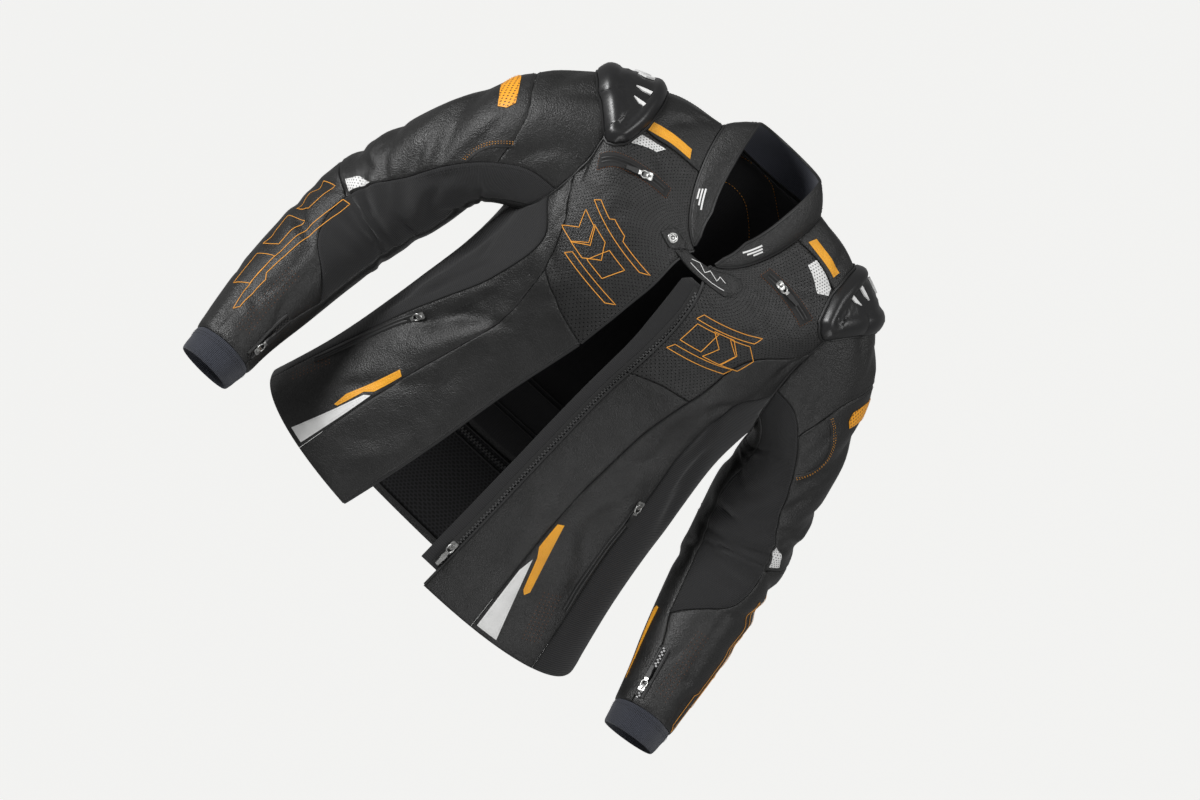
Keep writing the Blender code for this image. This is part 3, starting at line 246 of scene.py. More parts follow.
# Finer creases, in the same columns as the folds, and how they wander, thin out and rise beside
BODY_CREASES = (
    (-66, 0.262, 62, 0.060, 0.009, -0.0048),
    (-72, 0.226, 74, 0.055, 0.010, 0.0034),
    (-38, 0.262, 48, 0.034, 0.008, -0.0030),
    (-44, 0.118, 62, 0.050, 0.010, -0.0026),
    (-26, 0.330, 80, 0.040, 0.010, -0.0022),
    (-40, 0.402, 118, 0.045, 0.010, -0.0026),
    (-30, 0.560, 100, 0.045, 0.010, -0.0022),
    (46, 0.330, 96, 0.044, 0.009, -0.0032),
    (30, 0.180, 78, 0.050, 0.012, 0.0024),
    (40, 0.120, 110, 0.040, 0.010, -0.0024),
    (24, 0.420, 66, 0.040, 0.010, -0.0022),
    (44, 0.400, 64, 0.036, 0.009, -0.0028),
    (28, 0.560, 80, 0.040, 0.010, -0.0020),
    (100, 0.200, 96, 0.060, 0.012, -0.0032),
    (258, 0.180, 84, 0.060, 0.012, -0.0032),
    (128, 0.560, 60, 0.045, 0.010, -0.0030),
    (232, 0.560, 120, 0.045, 0.010, -0.0030),
    (180, 0.500, 90, 0.070, 0.012, -0.0022),
    (176, 0.120, 4, 0.060, 0.012, 0.0026),
    (146, 0.080, 80, 0.050, 0.012, -0.0024),
    (216, 0.090, 100, 0.050, 0.012, -0.0024),
    (-47, 0.262, 70, 0.030, 0.006, -0.0030),
    (-57, 0.205, 40, 0.028, 0.006, -0.0022),
    (-68, 0.300, 85, 0.030, 0.007, -0.0026),
    (-30, 0.190, 100, 0.035, 0.009, -0.0018),
    (-24, 0.080, 80, 0.045, 0.012, 0.0022),
    (58, 0.290, 100, 0.034, 0.007, -0.0026),
    (34, 0.300, 84, 0.040, 0.010, -0.0018),
    (15, 0.120, 96, 0.050, 0.012, 0.0018),
    (-58, 0.500, 120, 0.030, 0.006, -0.0028),
    (-52, 0.450, 135, 0.028, 0.006, -0.0020),
    (54, 0.480, 60, 0.030, 0.007, -0.0026),
    (-76, 0.622, 150, 0.022, 0.007, -0.0028),
    (82, 0.618, 30, 0.022, 0.007, -0.0024),
    (-86, 0.640, 95, 0.016, 0.005, -0.0018),
    (120, 0.300, 12, 0.045, 0.008, -0.0028),
    (236, 0.275, 168, 0.045, 0.008, -0.0028),
    (188, 0.230, 176, 0.060, 0.008, -0.0022),
    (160, 0.330, 20, 0.040, 0.007, -0.0018),
    (206, 0.400, 158, 0.040, 0.008, -0.0018),
    (150, 0.480, 45, 0.040, 0.010, -0.0022),
    (212, 0.470, 134, 0.040, 0.010, -0.0022),
)
SLEEVE_CREASES = (
    (44, 0.140, 24, 0.046, 0.008, -0.0044),
    (64, 0.222, 30, 0.040, 0.008, -0.0040),
    (20, 0.240, 170, 0.045, 0.009, -0.0042),
    (6, 0.190, 20, 0.045, 0.010, -0.0032),
    (26, 0.300, 160, 0.040, 0.009, -0.0038),
    (8, 0.345, 14, 0.040, 0.009, -0.0030),
    (44, 0.362, 30, 0.036, 0.009, -0.0030),
    (150, 0.300, 14, 0.036, 0.007, -0.0032),
    (150, 0.180, 166, 0.036, 0.008, -0.0030),
    (158, 0.110, 18, 0.036, 0.008, -0.0028),
    (100, 0.140, 120, 0.040, 0.008, -0.0028),
    (112, 0.180, 60, 0.034, 0.007, -0.0028),
    (98, 0.430, 70, 0.040, 0.009, -0.0024),
    (70, 0.420, 96, 0.044, 0.010, -0.0022),
    (40, 0.500, 80, 0.034, 0.009, -0.0020),
    (20, 0.030, 70, 0.030, 0.008, -0.0024),
    (-10, 0.250, 10, 0.045, 0.010, -0.0036),
    (-50, 0.240, 168, 0.045, 0.010, -0.0038),
    (-140, 0.200, 12, 0.045, 0.010, -0.0036),
    (-150, 0.320, 168, 0.040, 0.009, -0.0032),
    (-60, 0.400, 30, 0.045, 0.010, -0.0028),
    (-120, 0.430, 150, 0.045, 0.010, -0.0026),
    (52, 0.165, 30, 0.030, 0.006, -0.0028),
    (36, 0.215, 22, 0.034, 0.007, -0.0026),
    (66, 0.255, 12, 0.030, 0.006, -0.0030),
    (118, 0.235, 172, 0.030, 0.005, -0.0030),
    (92, 0.285, 4, 0.034, 0.005, -0.0034),
    (124, 0.290, 10, 0.030, 0.005, -0.0028),
    (96, 0.335, 170, 0.030, 0.006, -0.0024),
    (84, 0.060, 75, 0.028, 0.006, -0.0028),
    (70, 0.110, 60, 0.026, 0.006, -0.0022),
    (10, 0.060, 10, 0.030, 0.008, -0.0024),
    (-30, 0.115, 165, 0.035, 0.008, -0.0026),
    (-70, 0.210, 172, 0.034, 0.007, -0.0026),
    (-110, 0.300, 6, 0.034, 0.006, -0.0028),
    (-80, 0.330, 174, 0.030, 0.006, -0.0022),
    (30, 0.400, 20, 0.030, 0.008, -0.0016),
    (-20, 0.450, 165, 0.028, 0.008, -0.0016),
    (60, 0.470, 12, 0.024, 0.006, -0.0018),
)
CREASE_WANDER = 0.55
CREASE_TAPER = 0.5
CREASE_RIDGE = 0.35

# Seam relief of sewn leather
EDGE_ROUND = 0.0022
EDGE_DROP = 0.0010

# Turned-in edges behind the armhole seam: radius, and step round it in degrees
ARMHOLE_SEAM = 0.0016
ARMHOLE_SEAM_STEP = 5.0

# Swell beside a seam, and topstitching
PUFF_WAY = 0.012
PUFF_RISE = 0.0006
STITCH_PITCH = 0.0036
STITCH_LENGTH = 0.0025
STITCH_RADIUS = 0.00032

# View: the photograph's angle, with the jacket turned half way over in the frame
VIEW_AZIMUTH = -10
VIEW_ELEVATION = 18
VIEW_ROLL = 45
LENS = 85
SENSOR = 36
FRAME_WIDTH = 1.392
AIM_RIGHT = 0.0464
AIM_UP = -0.3248

BACKDROP_COLOUR = (0.70, 0.70, 0.69)
BACKDROP_GLOW = 0.95
BACKDROP_RADIUS = 9.0
BACKDROP_SPLITS = 4
WORLD_LIGHT = 0.26
# Columns: name, across, above, back, size, power
LIGHTS = (
    ("key", -1.5, 1.7, 1.5, 0.9, 62),
    ("fill", 1.9, 0.5, 1.7, 1.4, 24),
    ("low", 0.4, -2.0, 1.2, 1.4, 14),
)
BACK_STEP = 0.010
CUFF_STEP = 0.0045

# Leather: scales of its pebbles, rumples and gloss, height of the rumples, and the gloss's range
PEBBLE_SCALE = 560.0
RUMPLE_SCALE = 38.0
GLOSS_SCALE = 420.0
RUMPLE = 5.0
GLOSS_LEAST = 0.36
GLOSS_SPAN = 0.28

# Colours of the cut pieces, as linear red, green and blue
BLACK = (0.0110, 0.0110, 0.0108)
ORANGE = (0.90, 0.38, 0.02)
WHITE = (0.78, 0.78, 0.77)

# Leathers: colour, roughness, depth of the grain, and pitch and radius of the holes
LEATHERS = {
    "black_leather": (BLACK, 0.42, 0.00045, None),
    "orange_leather": (ORANGE, 0.48, 0.00045, None),
    "white_leather": (WHITE, 0.50, 0.00020, None),
    "chest_leather": (BLACK, 0.42, 0.00045, (0.0050, 0.00072)),
}

# Pierced cloths: colour, colour in the holes, which is the dark backing seen through them with painted shade,
# roughness, and pitch and radius of the holes
PIERCED = {
    "white_perforated": ((0.76, 0.76, 0.75), (0.06, 0.06, 0.06), 0.50, 0.0042, 0.0009),
    "orange_perforated": (ORANGE, (0.05, 0.02, 0.01), 0.50, 0.0042, 0.0009),
    "lining_mesh": ((0.020, 0.020, 0.022), (0.002, 0.002, 0.002), 0.85, 0.0036, 0.0013),
}

# Ribbed cloths: dark colour, which is painted shade in the grooves, and light colour on the ribs, roughness,
# pitch and depth of the ribs, and which way they count
RIBBED = {
    "stretch_fabric": ((0.006, 0.006, 0.0065), (0.016, 0.016, 0.017), 0.85, 0.0022, 0.0005, 1),
    "knit_cuff": ((0.016, 0.018, 0.026), (0.045, 0.050, 0.068), 0.90, 0.0034, 0.0009, 0),
    "collar_lining": ((0.026, 0.029, 0.042), (0.040, 0.044, 0.060), 0.90, 0.0016, 0.0002, 1),
    "back_lining": ((0.010, 0.010, 0.011), (0.016, 0.016, 0.018), 0.80, 0.0014, 0.0001, 0),
    "zip_tape": ((0.008, 0.008, 0.008), (0.014, 0.014, 0.014), 0.80, 0.0016, 0.0001, 1),
}

# Finishes with a fine grain: colour, roughness, metallic, scale and depth of the grain
FINE_FINISHES = {
    "thread_brown": ((0.22, 0.075, 0.02), 0.70, 0.0, 2400.0, 0.00012),
    "thread_black": ((0.026, 0.026, 0.025), 0.70, 0.0, 2400.0, 0.00012),
    "thread_orange": ((0.80, 0.34, 0.04), 0.70, 0.0, 2400.0, 0.00012),
    "thread_white": ((0.72, 0.72, 0.71), 0.70, 0.0, 2400.0, 0.00012),
    "white_print": ((0.80, 0.80, 0.79), 0.45, 0.0, 900.0, 0.00005),
    "piping": ((0.012, 0.012, 0.012), 0.50, 0.0, 900.0, 0.00025),
    "black_rubber": ((0.011, 0.011, 0.011), 0.50, 0.0, 1200.0, 0.00012),
    "moulded_plastic": ((0.013, 0.013, 0.0135), 0.33, 0.0, 760.0, 0.00010),
    "nickel": ((0.40, 0.40, 0.39), 0.34, 1.0, 600.0, 0.00003),
    "dark_metal": ((0.10, 0.10, 0.10), 0.42, 1.0, 600.0, 0.00003),
}

# Material slots of the record that differ from a material's own name
HEAP_SLOTS = ("thread_black", "thread_orange", "thread_white", "thread_brown", "piping", "black_rubber",
              "nickel", "dark_metal", "white_print")

# Rows of stitching: seam and real distances from it, positive into the front's own panel
STITCH_LIFT = 0.0005
BODY_STITCHES = (
    ("yoke", (-0.0040, 0.0040)), ("princess_upper", (-0.0040, 0.0040)), ("princess_lower", (-0.0040, 0.0040)),
    ("chest", (-0.0040,)), ("side_edge", (-0.0040, -0.0075)), ("edge_upper", (0.0060,)),
    ("edge_lower", (0.0060, 0.0105)), ("hem_front", (-0.0080,)), ("hem_side", (-0.0080,)),
    ("yoke_back", (-0.0040, 0.0040)),
)
SLEEVE_STITCHES = (
    ("cap_seam", (-0.0040, 0.0040)), ("stretch_upper", (-0.0040,)), ("stretch_middle", (-0.0040, -0.0075)),
    ("stretch_lower", (-0.0040, -0.0075)), ("strip_upper", (0.0040, -0.0040)), ("strip_lower", (-0.0040,)),
    ("elbow", (-0.0040, 0.0040)), ("forearm_hem", (-0.0060, -0.0095)), ("strip_hem", (-0.0060,)),
)
SLEEVE_INSERT = {
    RIGHT: ((80, 0.073), (79, 0.086), (79, 0.100), (82, 0.113), (88, 0.122)),
    LEFT: ((69, 0.076), (63, 0.092), (59, 0.110), (58, 0.126), (68, 0.135), (83, 0.139)),
}

# Threads other than topstitching: pitch, length and radius of their stitches
PATCH_THREAD = {"pitch": 0.003, "length": 0.002, "radius": 0.00026}
INSERT_THREAD = {"pitch": 0.0034, "length": 0.0019, "radius": 0.0005}
ZIP_THREAD = {"pitch": 0.0032, "length": 0.0024, "radius": 0.00036}
TAB_THREAD = {"pitch": 0.003, "length": 0.0022}
LINING_THREAD = {"pitch": 0.0042, "length": 0.0034, "radius": 0.0005}
PATCH_STITCH_LIFT = PATCH + GAP + 0.0002
ZIP_STITCH_LIFT = 0.0006
INSERT_ROWS = (0.0035, 0.0060)
COLLAR_ROWS = (0.0045, 0.0080)

# Piping and cords: radius, and height of the middle over the cloth
EDGE_PIPING = (0.0017, -0.0009)
INSERT_PIPING = (0.0014, 0.0)
COLLAR_PIPING = (0.0019, -0.0012)
CUP_PIPING = (0.0016, 0.0012)
OUTLINE_CORD = (0.00048, 0.0005)

# Bands of small dots: first and last place, and the number of rows
DOT_PITCH = 0.0052
DOT_THREAD = {"pitch": DOT_PITCH, "length": 0.0014, "radius": 0.0006}
DOT_LIFT = 0.0002
FOREARM_DOTS = ((80, 0.412), (84, 0.512), 4)
HEM_DOTS = {RIGHT: ((72, 0.085), (76, 0.030), 5), LEFT: ((39, 0.080), (43, 0.022), 5)}

# Outline drawings: place, tilt in degrees, and corners in metres
BAR = ((-0.040, -0.0040), (0.034, -0.0040), (0.042, 0.0040), (-0.034, 0.0040))
LONG_BAR = ((-0.052, -0.0035), (0.046, -0.0035), (0.053, 0.0035), (0.010, 0.0035), (0.006, 0.0085),
            (-0.016, 0.0085), (-0.020, 0.0035), (-0.046, 0.0035))
ARROW = ((-0.016, -0.016), (0.008, -0.016), (0.022, 0.0), (0.008, 0.016), (-0.016, 0.016), (-0.002, 0.0))
SLAB = ((-0.018, -0.013), (0.010, -0.013), (0.018, 0.013), (-0.010, 0.013))
CHEST_ART = {
    RIGHT: (
        ((24, 0.497), -3, LONG_BAR), ((36.5, 0.451), -3, ARROW), ((29, 0.450), -3, ARROW),
        ((19.5, 0.449), -3, SLAB), ((21.5, 0.408), -4, BAR),
    ),
    LEFT: (
        ((19, 0.512), 8, BAR), ((12.5, 0.470), 8, SLAB), ((21, 0.475), 8, ARROW),
        ((28, 0.479), 8, ARROW), ((18.5, 0.434), 11, BAR),
    ),
}
FOREARM_BAR = ((-0.0045, -0.090), (0.0045, -0.096), (0.0045, 0.040), (0.0105, 0.046), (0.0105, 0.088),
               (0.0015, 0.094), (-0.0045, 0.046))
FOREARM_SLAB = ((-0.012, -0.022), (0.012, -0.030), (0.012, 0.014), (-0.012, 0.022))
FOREARM_ART = {
    RIGHT: (((52, 0.395), 4, FOREARM_BAR), ((22, 0.325), 2, FOREARM_SLAB), ((26, 0.385), 2, FOREARM_SLAB),
            ((30, 0.445), 2, FOREARM_SLAB)),
    LEFT: (((24, 0.430), 2, FOREARM_BAR), ((-4, 0.345), 2, FOREARM_SLAB), ((-2, 0.405), 2, FOREARM_SLAB),
           ((0, 0.465), 2, FOREARM_SLAB)),
}
STRAP_ART = (
    ((-3, 0.606), (0, 0.624), (3, 0.600), (6, 0.626), (9, 0.602), (12, 0.626), (14, 0.612)),
    ((-2, 0.590), (1, 0.586), (6, 0.583), (12, 0.586)),
)
STRAP_FOLD = ((16.5, 0.584), (15.5, 0.612), (15, 0.640))
COLLAR_MARKS = ((36, 0.58, 1), (319, 0.44, -1))
COLLAR_MARK_BARS = ((0.0, 0.026, 0.0), (0.0034, 0.020, 0.002), (0.0068, 0.012, 0.005))
COLLAR_MARK_WIDTH = 0.0022
CUP_MARKS = ((22, 0.002), (10, 0.006), (-2, 0.009), (-14, 0.011))
CUP_MARK = ((-0.0030, -0.010), (0.0014, -0.010), (0.0038, 0.0), (0.0014, 0.010))

# Snap: radius and height along its turned profile, and the steps round it
SNAP_PROFILE = ((0.0064, 0.0020), (0.0066, 0.0030), (0.0060, 0.0038), (0.0050, 0.0040), (0.0042, 0.0036),
                (0.0038, 0.0028), (0.0024, 0.0027), (0.0018, 0.0033), (0.0008, 0.0035))
SNAP_STEPS = 40

# Zips: rise of the tape's middle and of its rim, welts and lips beside the teeth
WELT_RISE, WELT_RIM = 0.0004, 0.0006
CUFF_ZIP_RISE, CUFF_ZIP_RIM = 0.0002, 0.0004
WELT_WAY, WELT_RADIUS = 0.0022, 0.0024
LIP_WAY, LIP_RADIUS = 0.0046, 0.0022
MAIN_TAPE = 0.0009
CUFF_PULL = ((122, 0.512), (121, 0.470))
MAIN_PULL = ((4.3, 0.052), (4.1, 0.0))

# Slider body and bridge: way, half width, low and high of each section
SLIDER_HEIGHT = 0.0024
SLIDER_BODY = ((-0.005, 0.0035, 0, 0.0016), (-0.003, 0.0046, 0, SLIDER_HEIGHT),
               (0.004, 0.0040, 0, SLIDER_HEIGHT), (0.0065, 0.0028, 0, 0.0016))
SLIDER_BRIDGE = ((-0.0030, 0.0012, -0.0004, 0.0002), (-0.0018, 0.0012, -0.0004, 0.0018),
                 (0.0016, 0.0012, -0.0004, 0.0018), (0.0030, 0.0012, -0.0004, 0.0002))

# Pull tab: its oval ring, the neck's sections and the ribbed grip
PULL_RING_WAY = 0.0052
PULL_RING_LENGTH, PULL_RING_WIDTH, PULL_WIRE = 0.0055, 0.0040, 0.0011
PULL_RING_STEPS = 28
PULL_NECK = ((0.0095, 0.0016, -0.0009, 0.0009), (0.0125, 0.0026, -0.0010, 0.0010),
             (0.0150, 0.0026, -0.0010, 0.0010))
GRIP_START = 0.0135
GRIP_HALF_WIDTH, GRIP_HALF_HEIGHT = 0.0034, 0.0017
GRIP_RIBS = 12
GRIP_WAIST = 0.86

# Shoulder cup: its bevel, sunk middle, studs and marks, as ways in from the rim and heights
CUP_MESH_STEP = 0.0026
CUP_BEVEL_WAY = 0.008
CUP_SUNK_WAY, CUP_SUNK_RUN, CUP_SUNK = 0.0115, 0.0022, 0.0032
STUD_WAY, STUD_PITCH, STUD_RISE = 0.015, 0.0042, 0.0009
CUP_MARK_DROP, CUP_MARK_THICK = 0.0026, 0.0022

# Share of its rectangle that a cut may fill
CUT_FILL_LEAST, CUT_FILL_AIM, CUT_FILL_MOST = 0.32, 0.34, 0.96

# Teeth of the zip half on the wind flap
ZIP_LINE = ((3.1, 0.535), (4.1, 0.486), (4.6, 0.345), (5.1, 0.210), (5.1, 0.116), (4.7, 0.026))

# Lining seams, its zip, and the stitched lines between the shoulders
LINING_SEAMS = ((0.205, (-0.003, 0.003)), (0.160, (-0.003, 0.003)))
LINING_ZIP = 0.112
LINING_ANGLES = (112, 146, 180, 214, 248)
LINING_ART = (
    ((150, 0.500), (165, 0.560), (172, 0.610), (176, 0.640)),
    ((210, 0.500), (195, 0.560), (188, 0.610), (184, 0.640)),
    ((160, 0.470), (172, 0.520), (180, 0.545), (188, 0.520), (200, 0.470)),
)


def curve_through(rows, places):
    """Smooth curve through table rows, whose first column is the place along it."""
    table = np.array(rows, float)
    knots = table[:, 0]
    values = table[:, 1:]
    slopes = np.gradient(values, knots, axis=0)
    places = np.clip(places, knots[0], knots[-1])
    index = np.clip(np.searchsorted(knots, places, side="right") - 1, 0, len(knots) - 2)
    span = (knots[index + 1] - knots[index])[:, None]
    part = (places - knots[index])[:, None] / span
    rest = 1.0 - part
    return (values[index] * (1 + 2 * part) * rest ** 2
            + slopes[index] * span * part * rest ** 2
            + values[index + 1] * (3 - 2 * part) * part ** 2
            - slopes[index + 1] * span * rest * part ** 2)


def signed_power(value, power):
    return np.sign(value) * np.abs(value) ** power


def fold_depth(folds, angle, level, radian):
    """How far the folds of a table push the surface out, at each place."""
    depth = np.zeros(len(angle))
    for middle, height, direction, half_length, half_width, rise in folds:
        across = (np.remainder(angle - middle + 180, 360) - 180) * pi / 180 * radian
        upward = level - height
        turn = radians(direction)
        run = across * cos(turn) + upward * sin(turn)
        side = -across * sin(turn) + upward * cos(turn)
        depth += rise * np.exp(-(side / half_width) ** 2 - (run / half_length) ** 4)
    return depth


def crease_depth(creases, angle, level, radian):
    """Creases that wander and thin out, each a trough with a low ridge along its upper side."""
    depth = np.zeros(len(angle))
    for middle, height, direction, half_length, half_width, rise in creases:
        across = (np.remainder(angle - middle + 180, 360) - 180) * pi / 180 * radian
        upward = level - height
        turn = radians(direction)
        run = (across * cos(turn) + upward * sin(turn)) / half_length
        side = -across * sin(turn) + upward * cos(turn)
        side = side / half_width + CREASE_WANDER * np.sin(2.2 * run + middle)
        width = 1 - CREASE_TAPER * run ** 2 / (1 + run ** 2)
        shape = np.exp(-(side / width) ** 2) - CREASE_RIDGE * np.exp(-((side / width - 2.0) / 1.3) ** 2)
        depth += rise * shape * np.exp(-run ** 4) * (1 + 0.35 * np.sin(3.1 * run + height * 40))
    return depth


def plain_body(angle, level):
    angle = np.radians(angle)
    half, front, back, front_z, side_z, back_z, square = curve_through(BODY_ROWS, level).T
    ahead = np.cos(angle)
    x = half * signed_power(np.sin(angle), 2 / square)
    y = np.where(ahead > 0, -front, back) * np.abs(ahead) ** (2 / square)
    z = side_z + (np.where(ahead > 0, front_z, back_z) - side_z) * np.abs(ahead) ** 1.3
    skirt = np.clip((SKIRT_TOP - level) / SKIRT_TOP, 0, 1) ** 2
    return np.stack([x, y, z - SKIRT_LEAN * x * skirt], axis=1)


def unit(vectors):
    return vectors / np.linalg.norm(vectors, axis=1)[:, None]


def surface_normal(surface, a, b, a_step, b_step):
    across = surface(a + a_step, b) - surface(a - a_step, b)
    along = surface(a, b + b_step) - surface(a, b - b_step)
    return unit(np.cross(across, along))


def body_surface(angle, level):
    """Outer face of the body: angle in degrees from the front, level up from the hem."""
    push = fold_depth(BODY_FOLDS, angle, level, LENGTH_PER_RADIAN)
    push += crease_depth(BODY_CREASES, angle, level, LENGTH_PER_RADIAN)
    return plain_body(angle, level) + surface_normal(plain_body, angle, level, 0.5, 0.001) * push[:, None]


def armhole_place(phi):
    """Angle and level on the body of the armhole seam."""
    phi = np.radians(phi)
    return (90 - ARMHOLE_HALF_ANGLE * signed_power(np.sin(phi), ARMHOLE_POWER),
            ARMHOLE_LEVEL + ARMHOLE_HALF_HEIGHT * signed_power(np.cos(phi), ARMHOLE_POWER))


def arm_ring(phi, along, side):
    """Point on the sleeve's section, for the arm mirrored to the wearer's left."""
    phi = np.radians(phi)
    row = curve_through(ARM_ROWS, along)
    after, before = (curve_through(ARM_ROWS, along + step)[:, :3] for step in (0.004, -0.004))
    ahead = unit(after - before)
    outward = np.array(ARM_OUTWARD)
    outer = unit(outward[None, :] - ahead * (ahead @ outward)[:, None])
    front = np.cross(ahead, outer)
    swing = np.zeros_like(row[:, :3])
    swing[:, 0] = ARM_SWING[side] * np.clip((SLEEVE_LENGTH - along) / 0.3, 0, 1)
    outer_way, front_way = row[:, 3] * np.cos(phi), row[:, 4] * np.sin(phi)
    return row[:, :3] + swing + outer * outer_way[:, None] + front * front_way[:, None]


def plain_sleeve(phi, along, side):
    """Sleeve from the armhole seam, bending over the shoulder into the arm's sections."""
    first = ARM_ROWS[0][0]
    ring = arm_ring(phi, np.maximum(along, first), side)
    angle, level = armhole_place(phi)
    start = body_surface(angle * side, level)
    start[:, 0] *= side
    edge = arm_ring(phi, np.full(len(phi), first), side)
    ahead = unit(arm_ring(phi, np.full(len(phi), first + 0.01), side) - edge)
    chord = edge - start
    length = np.linalg.norm(chord, axis=1)[:, None]
    top_share = (0.5 + 0.5 * np.cos(np.radians(phi)))[:, None]
    lift = SHOULDER_LIFT * top_share + UNDERARM_LIFT * (1 - top_share)
    leave = unit((1 - lift) * chord / length + lift * np.array([SHOULDER_WAY]))
    part = np.clip(along / first, 0, 1)[:, None]
    rest = 1 - part
    upper = (start * (1 + 2 * part) * rest ** 2 + leave * length * SHOULDER_BEND * part * rest ** 2
             + edge * (3 - 2 * part) * part ** 2 - ahead * length * SHOULDER_BEND * rest * part ** 2)
    return np.where((along < first)[:, None], upper, ring)


def sleeve_surface(side):
    """Outer face of one sleeve as a function of signed phi and way along."""
    def surface(signed_phi, along):
        phi = signed_phi * side

        def plain(p, t):
            return plain_sleeve(p, t, side)
        near_seam = np.clip(along / 0.03, 0, 1)
        push = fold_depth(SLEEVE_FOLDS, phi, along, ARM_RADIAN)
        push += crease_depth(SLEEVE_CREASES, phi, along, ARM_RADIAN)
        push *= near_seam
        points = plain(phi, along) + surface_normal(plain, phi, along, 0.5, 0.001) * push[:, None]
        points[:, 0] *= side
        return points
    return surface


def shoulder_surface(side):
    """The sleeve's face, carried on over the armhole seam onto the body where the way along is negative."""
    sleeve = sleeve_surface(side)

    def surface(signed_phi, along):
        angle, level = armhole_place(signed_phi * side)
        grow = 1 + np.maximum(-along, 0) / ARMHOLE_REACH
        body = body_surface((90 - (90 - angle) * grow) * side, ARMHOLE_LEVEL + (level - ARMHOLE_LEVEL) * grow)
        return np.where((along < 0)[:, None], body, sleeve(signed_phi, np.maximum(along, 0)))
    return surface


def collar_surface(angle, share):
    """Outer face of the collar: angle from the front, share of its height."""
    turn = np.radians(angle)
    low = plain_body(angle, np.full(len(angle), NECK_LEVEL))
    ahead = np.cos(turn)
    x = COLLAR_HALF_WIDTH * np.sin(turn)
    y = np.where(ahead > 0, -COLLAR_FRONT, COLLAR_BACK) * np.abs(ahead)
    end_z = np.where(ahead > 0, COLLAR_FRONT_Z, COLLAR_BACK_Z)
    z = COLLAR_SIDE_Z + (end_z - COLLAR_SIDE_Z) * np.abs(ahead) ** 1.3
    high = np.stack([x, y, z], axis=1)
    bulge = COLLAR_BULGE * np.sin(share * pi)
    out = np.stack([np.sin(turn), -ahead, np.zeros(len(angle))], axis=1)
    return low + (high - low) * share[:, None] + out * bulge[:, None]


class Sheet:
    """A surface with its normals and with measures that turn its places into metres."""

    def __init__(self, surface, radian, along=1.0, side=None, limits=(-1.0, 2.0)):
        self.surface = surface
        self.radian = radian * pi / 180
        self.along = along
        self.side = side
        self.limits = limits

    def flat(self, places):
        return places[:, :2] * np.array([self.radian, self.along])

    def point(self, places):
        return self.surface(places[:, 0], places[:, 1])

    def normal(self, places):
        return surface_normal(self.surface, places[:, 0], places[:, 1], 0.5, 0.001 / self.along)


BODY = Sheet(body_surface, LENGTH_PER_RADIAN, limits=(0.0015, NECK_LEVEL - 0.0015))
COLLAR = Sheet(collar_surface, COLLAR_RADIAN, COLLAR_HEIGHT)
SLEEVES = {side: Sheet(sleeve_surface(side), ARM_RADIAN, 1.0, side, (0.0015, CUFF_END - 0.0015))
           for side in (RIGHT, LEFT)}


def smooth_line(points, step, sheet):
    """Points at even real spacing on a smooth line through the given places."""
    places = np.array(points, float)
    reach = np.linalg.norm(np.diff(sheet.flat(places), axis=0), axis=1)
    knots = np.concatenate([[0], np.cumsum(reach)])
    fine = np.linspace(0, knots[-1], 200)
    if len(places) > 2:
        line = curve_through(np.column_stack([knots, places]), fine)
    else:
        line = places[0] + (places[1] - places[0]) * (fine / knots[-1])[:, None]
    real = sheet.point(line)
    way = np.concatenate([[0], np.cumsum(np.linalg.norm(np.diff(real, axis=0), axis=1))])
    count = max(1, round(way[-1] / step))
    at = np.interp(np.linspace(0, way[-1], count + 1), way, fine)
    sampled = np.column_stack([np.interp(at, fine, line[:, 0]), np.interp(at, fine, line[:, 1])])
    sampled[0] = places[0]
    sampled[-1] = places[-1]
    return np.column_stack([sampled, np.full(len(sampled), np.nan)])


def armhole_line(first_phi, last_phi, on_body, side):
    """Part of the armhole seam, with phi kept so that both pieces share its wall direction."""
    low, high = sorted((first_phi, last_phi))
    shared = [YOKE_PHI[side], PRINCESS_PHI[side], SIDE_EDGE_PHI[side], SIDE_SEAM_PHI[side], YOKE_BACK_PHI,
              STRETCH_TOP_PHI, STRIP_TOP_PHI, INNER_SEAM_PHI, *range(-180, 181, 15)]
    turns = sorted({p + turn for p in shared for turn in (-360, 0, 360)})
    phi = np.array([low] + [p for p in turns if low < p < high] + [high], float)
    if first_phi > last_phi:
        phi = phi[::-1]
    if on_body:
        angle, level = armhole_place(phi)
        return np.column_stack([angle * side, level, phi])
    return np.column_stack([phi * side, np.zeros(len(phi)), phi])


def join_lines(*lines):
    """One closed outline from lines that meet end to end."""
    kept = [line[:-1] for line in lines]
    return np.concatenate(kept)


def polyline(points, step, sheet):
    """Closed outline with straight sides, cut to even steps."""
    corners = [np.array(p, float) for p in points]
    lines = []
    for start, end in zip(corners, corners[1:] + corners[:1]):
        lines.append(smooth_line([start, end], step, sheet))
    return join_lines(*lines)


def counter_clockwise(outline, sheet):
    flat = sheet.flat(outline)
    after = np.roll(flat, -1, axis=0)
    area = np.sum(flat[:, 0] * after[:, 1] - after[:, 0] * flat[:, 1])
    return outline if area > 0 else outline[::-1]


def pull_in(outline, sheet, distance):
    """Outline moved inwards by a real distance."""
    flat = sheet.flat(outline)
    before = unit(flat - np.roll(flat, 1, axis=0))
    after = unit(np.roll(flat, -1, axis=0) - flat)
    inward = np.stack([-(before + after)[:, 1], (before + after)[:, 0]], axis=1)
    inward = unit(inward)
    sharp = np.abs(np.sum(np.stack([-before[:, 1], before[:, 0]], axis=1) * inward, axis=1))
    move = inward / np.array([sheet.radian, sheet.along])
    small = 1e-4
    moved = outline[:, :2] + move * small
    real = np.linalg.norm(sheet.point(moved) - sheet.point(outline), axis=1) / small
    result = outline.copy()
    result[:, :2] += move * (distance / real / np.maximum(sharp, 0.35))[:, None]
    return result


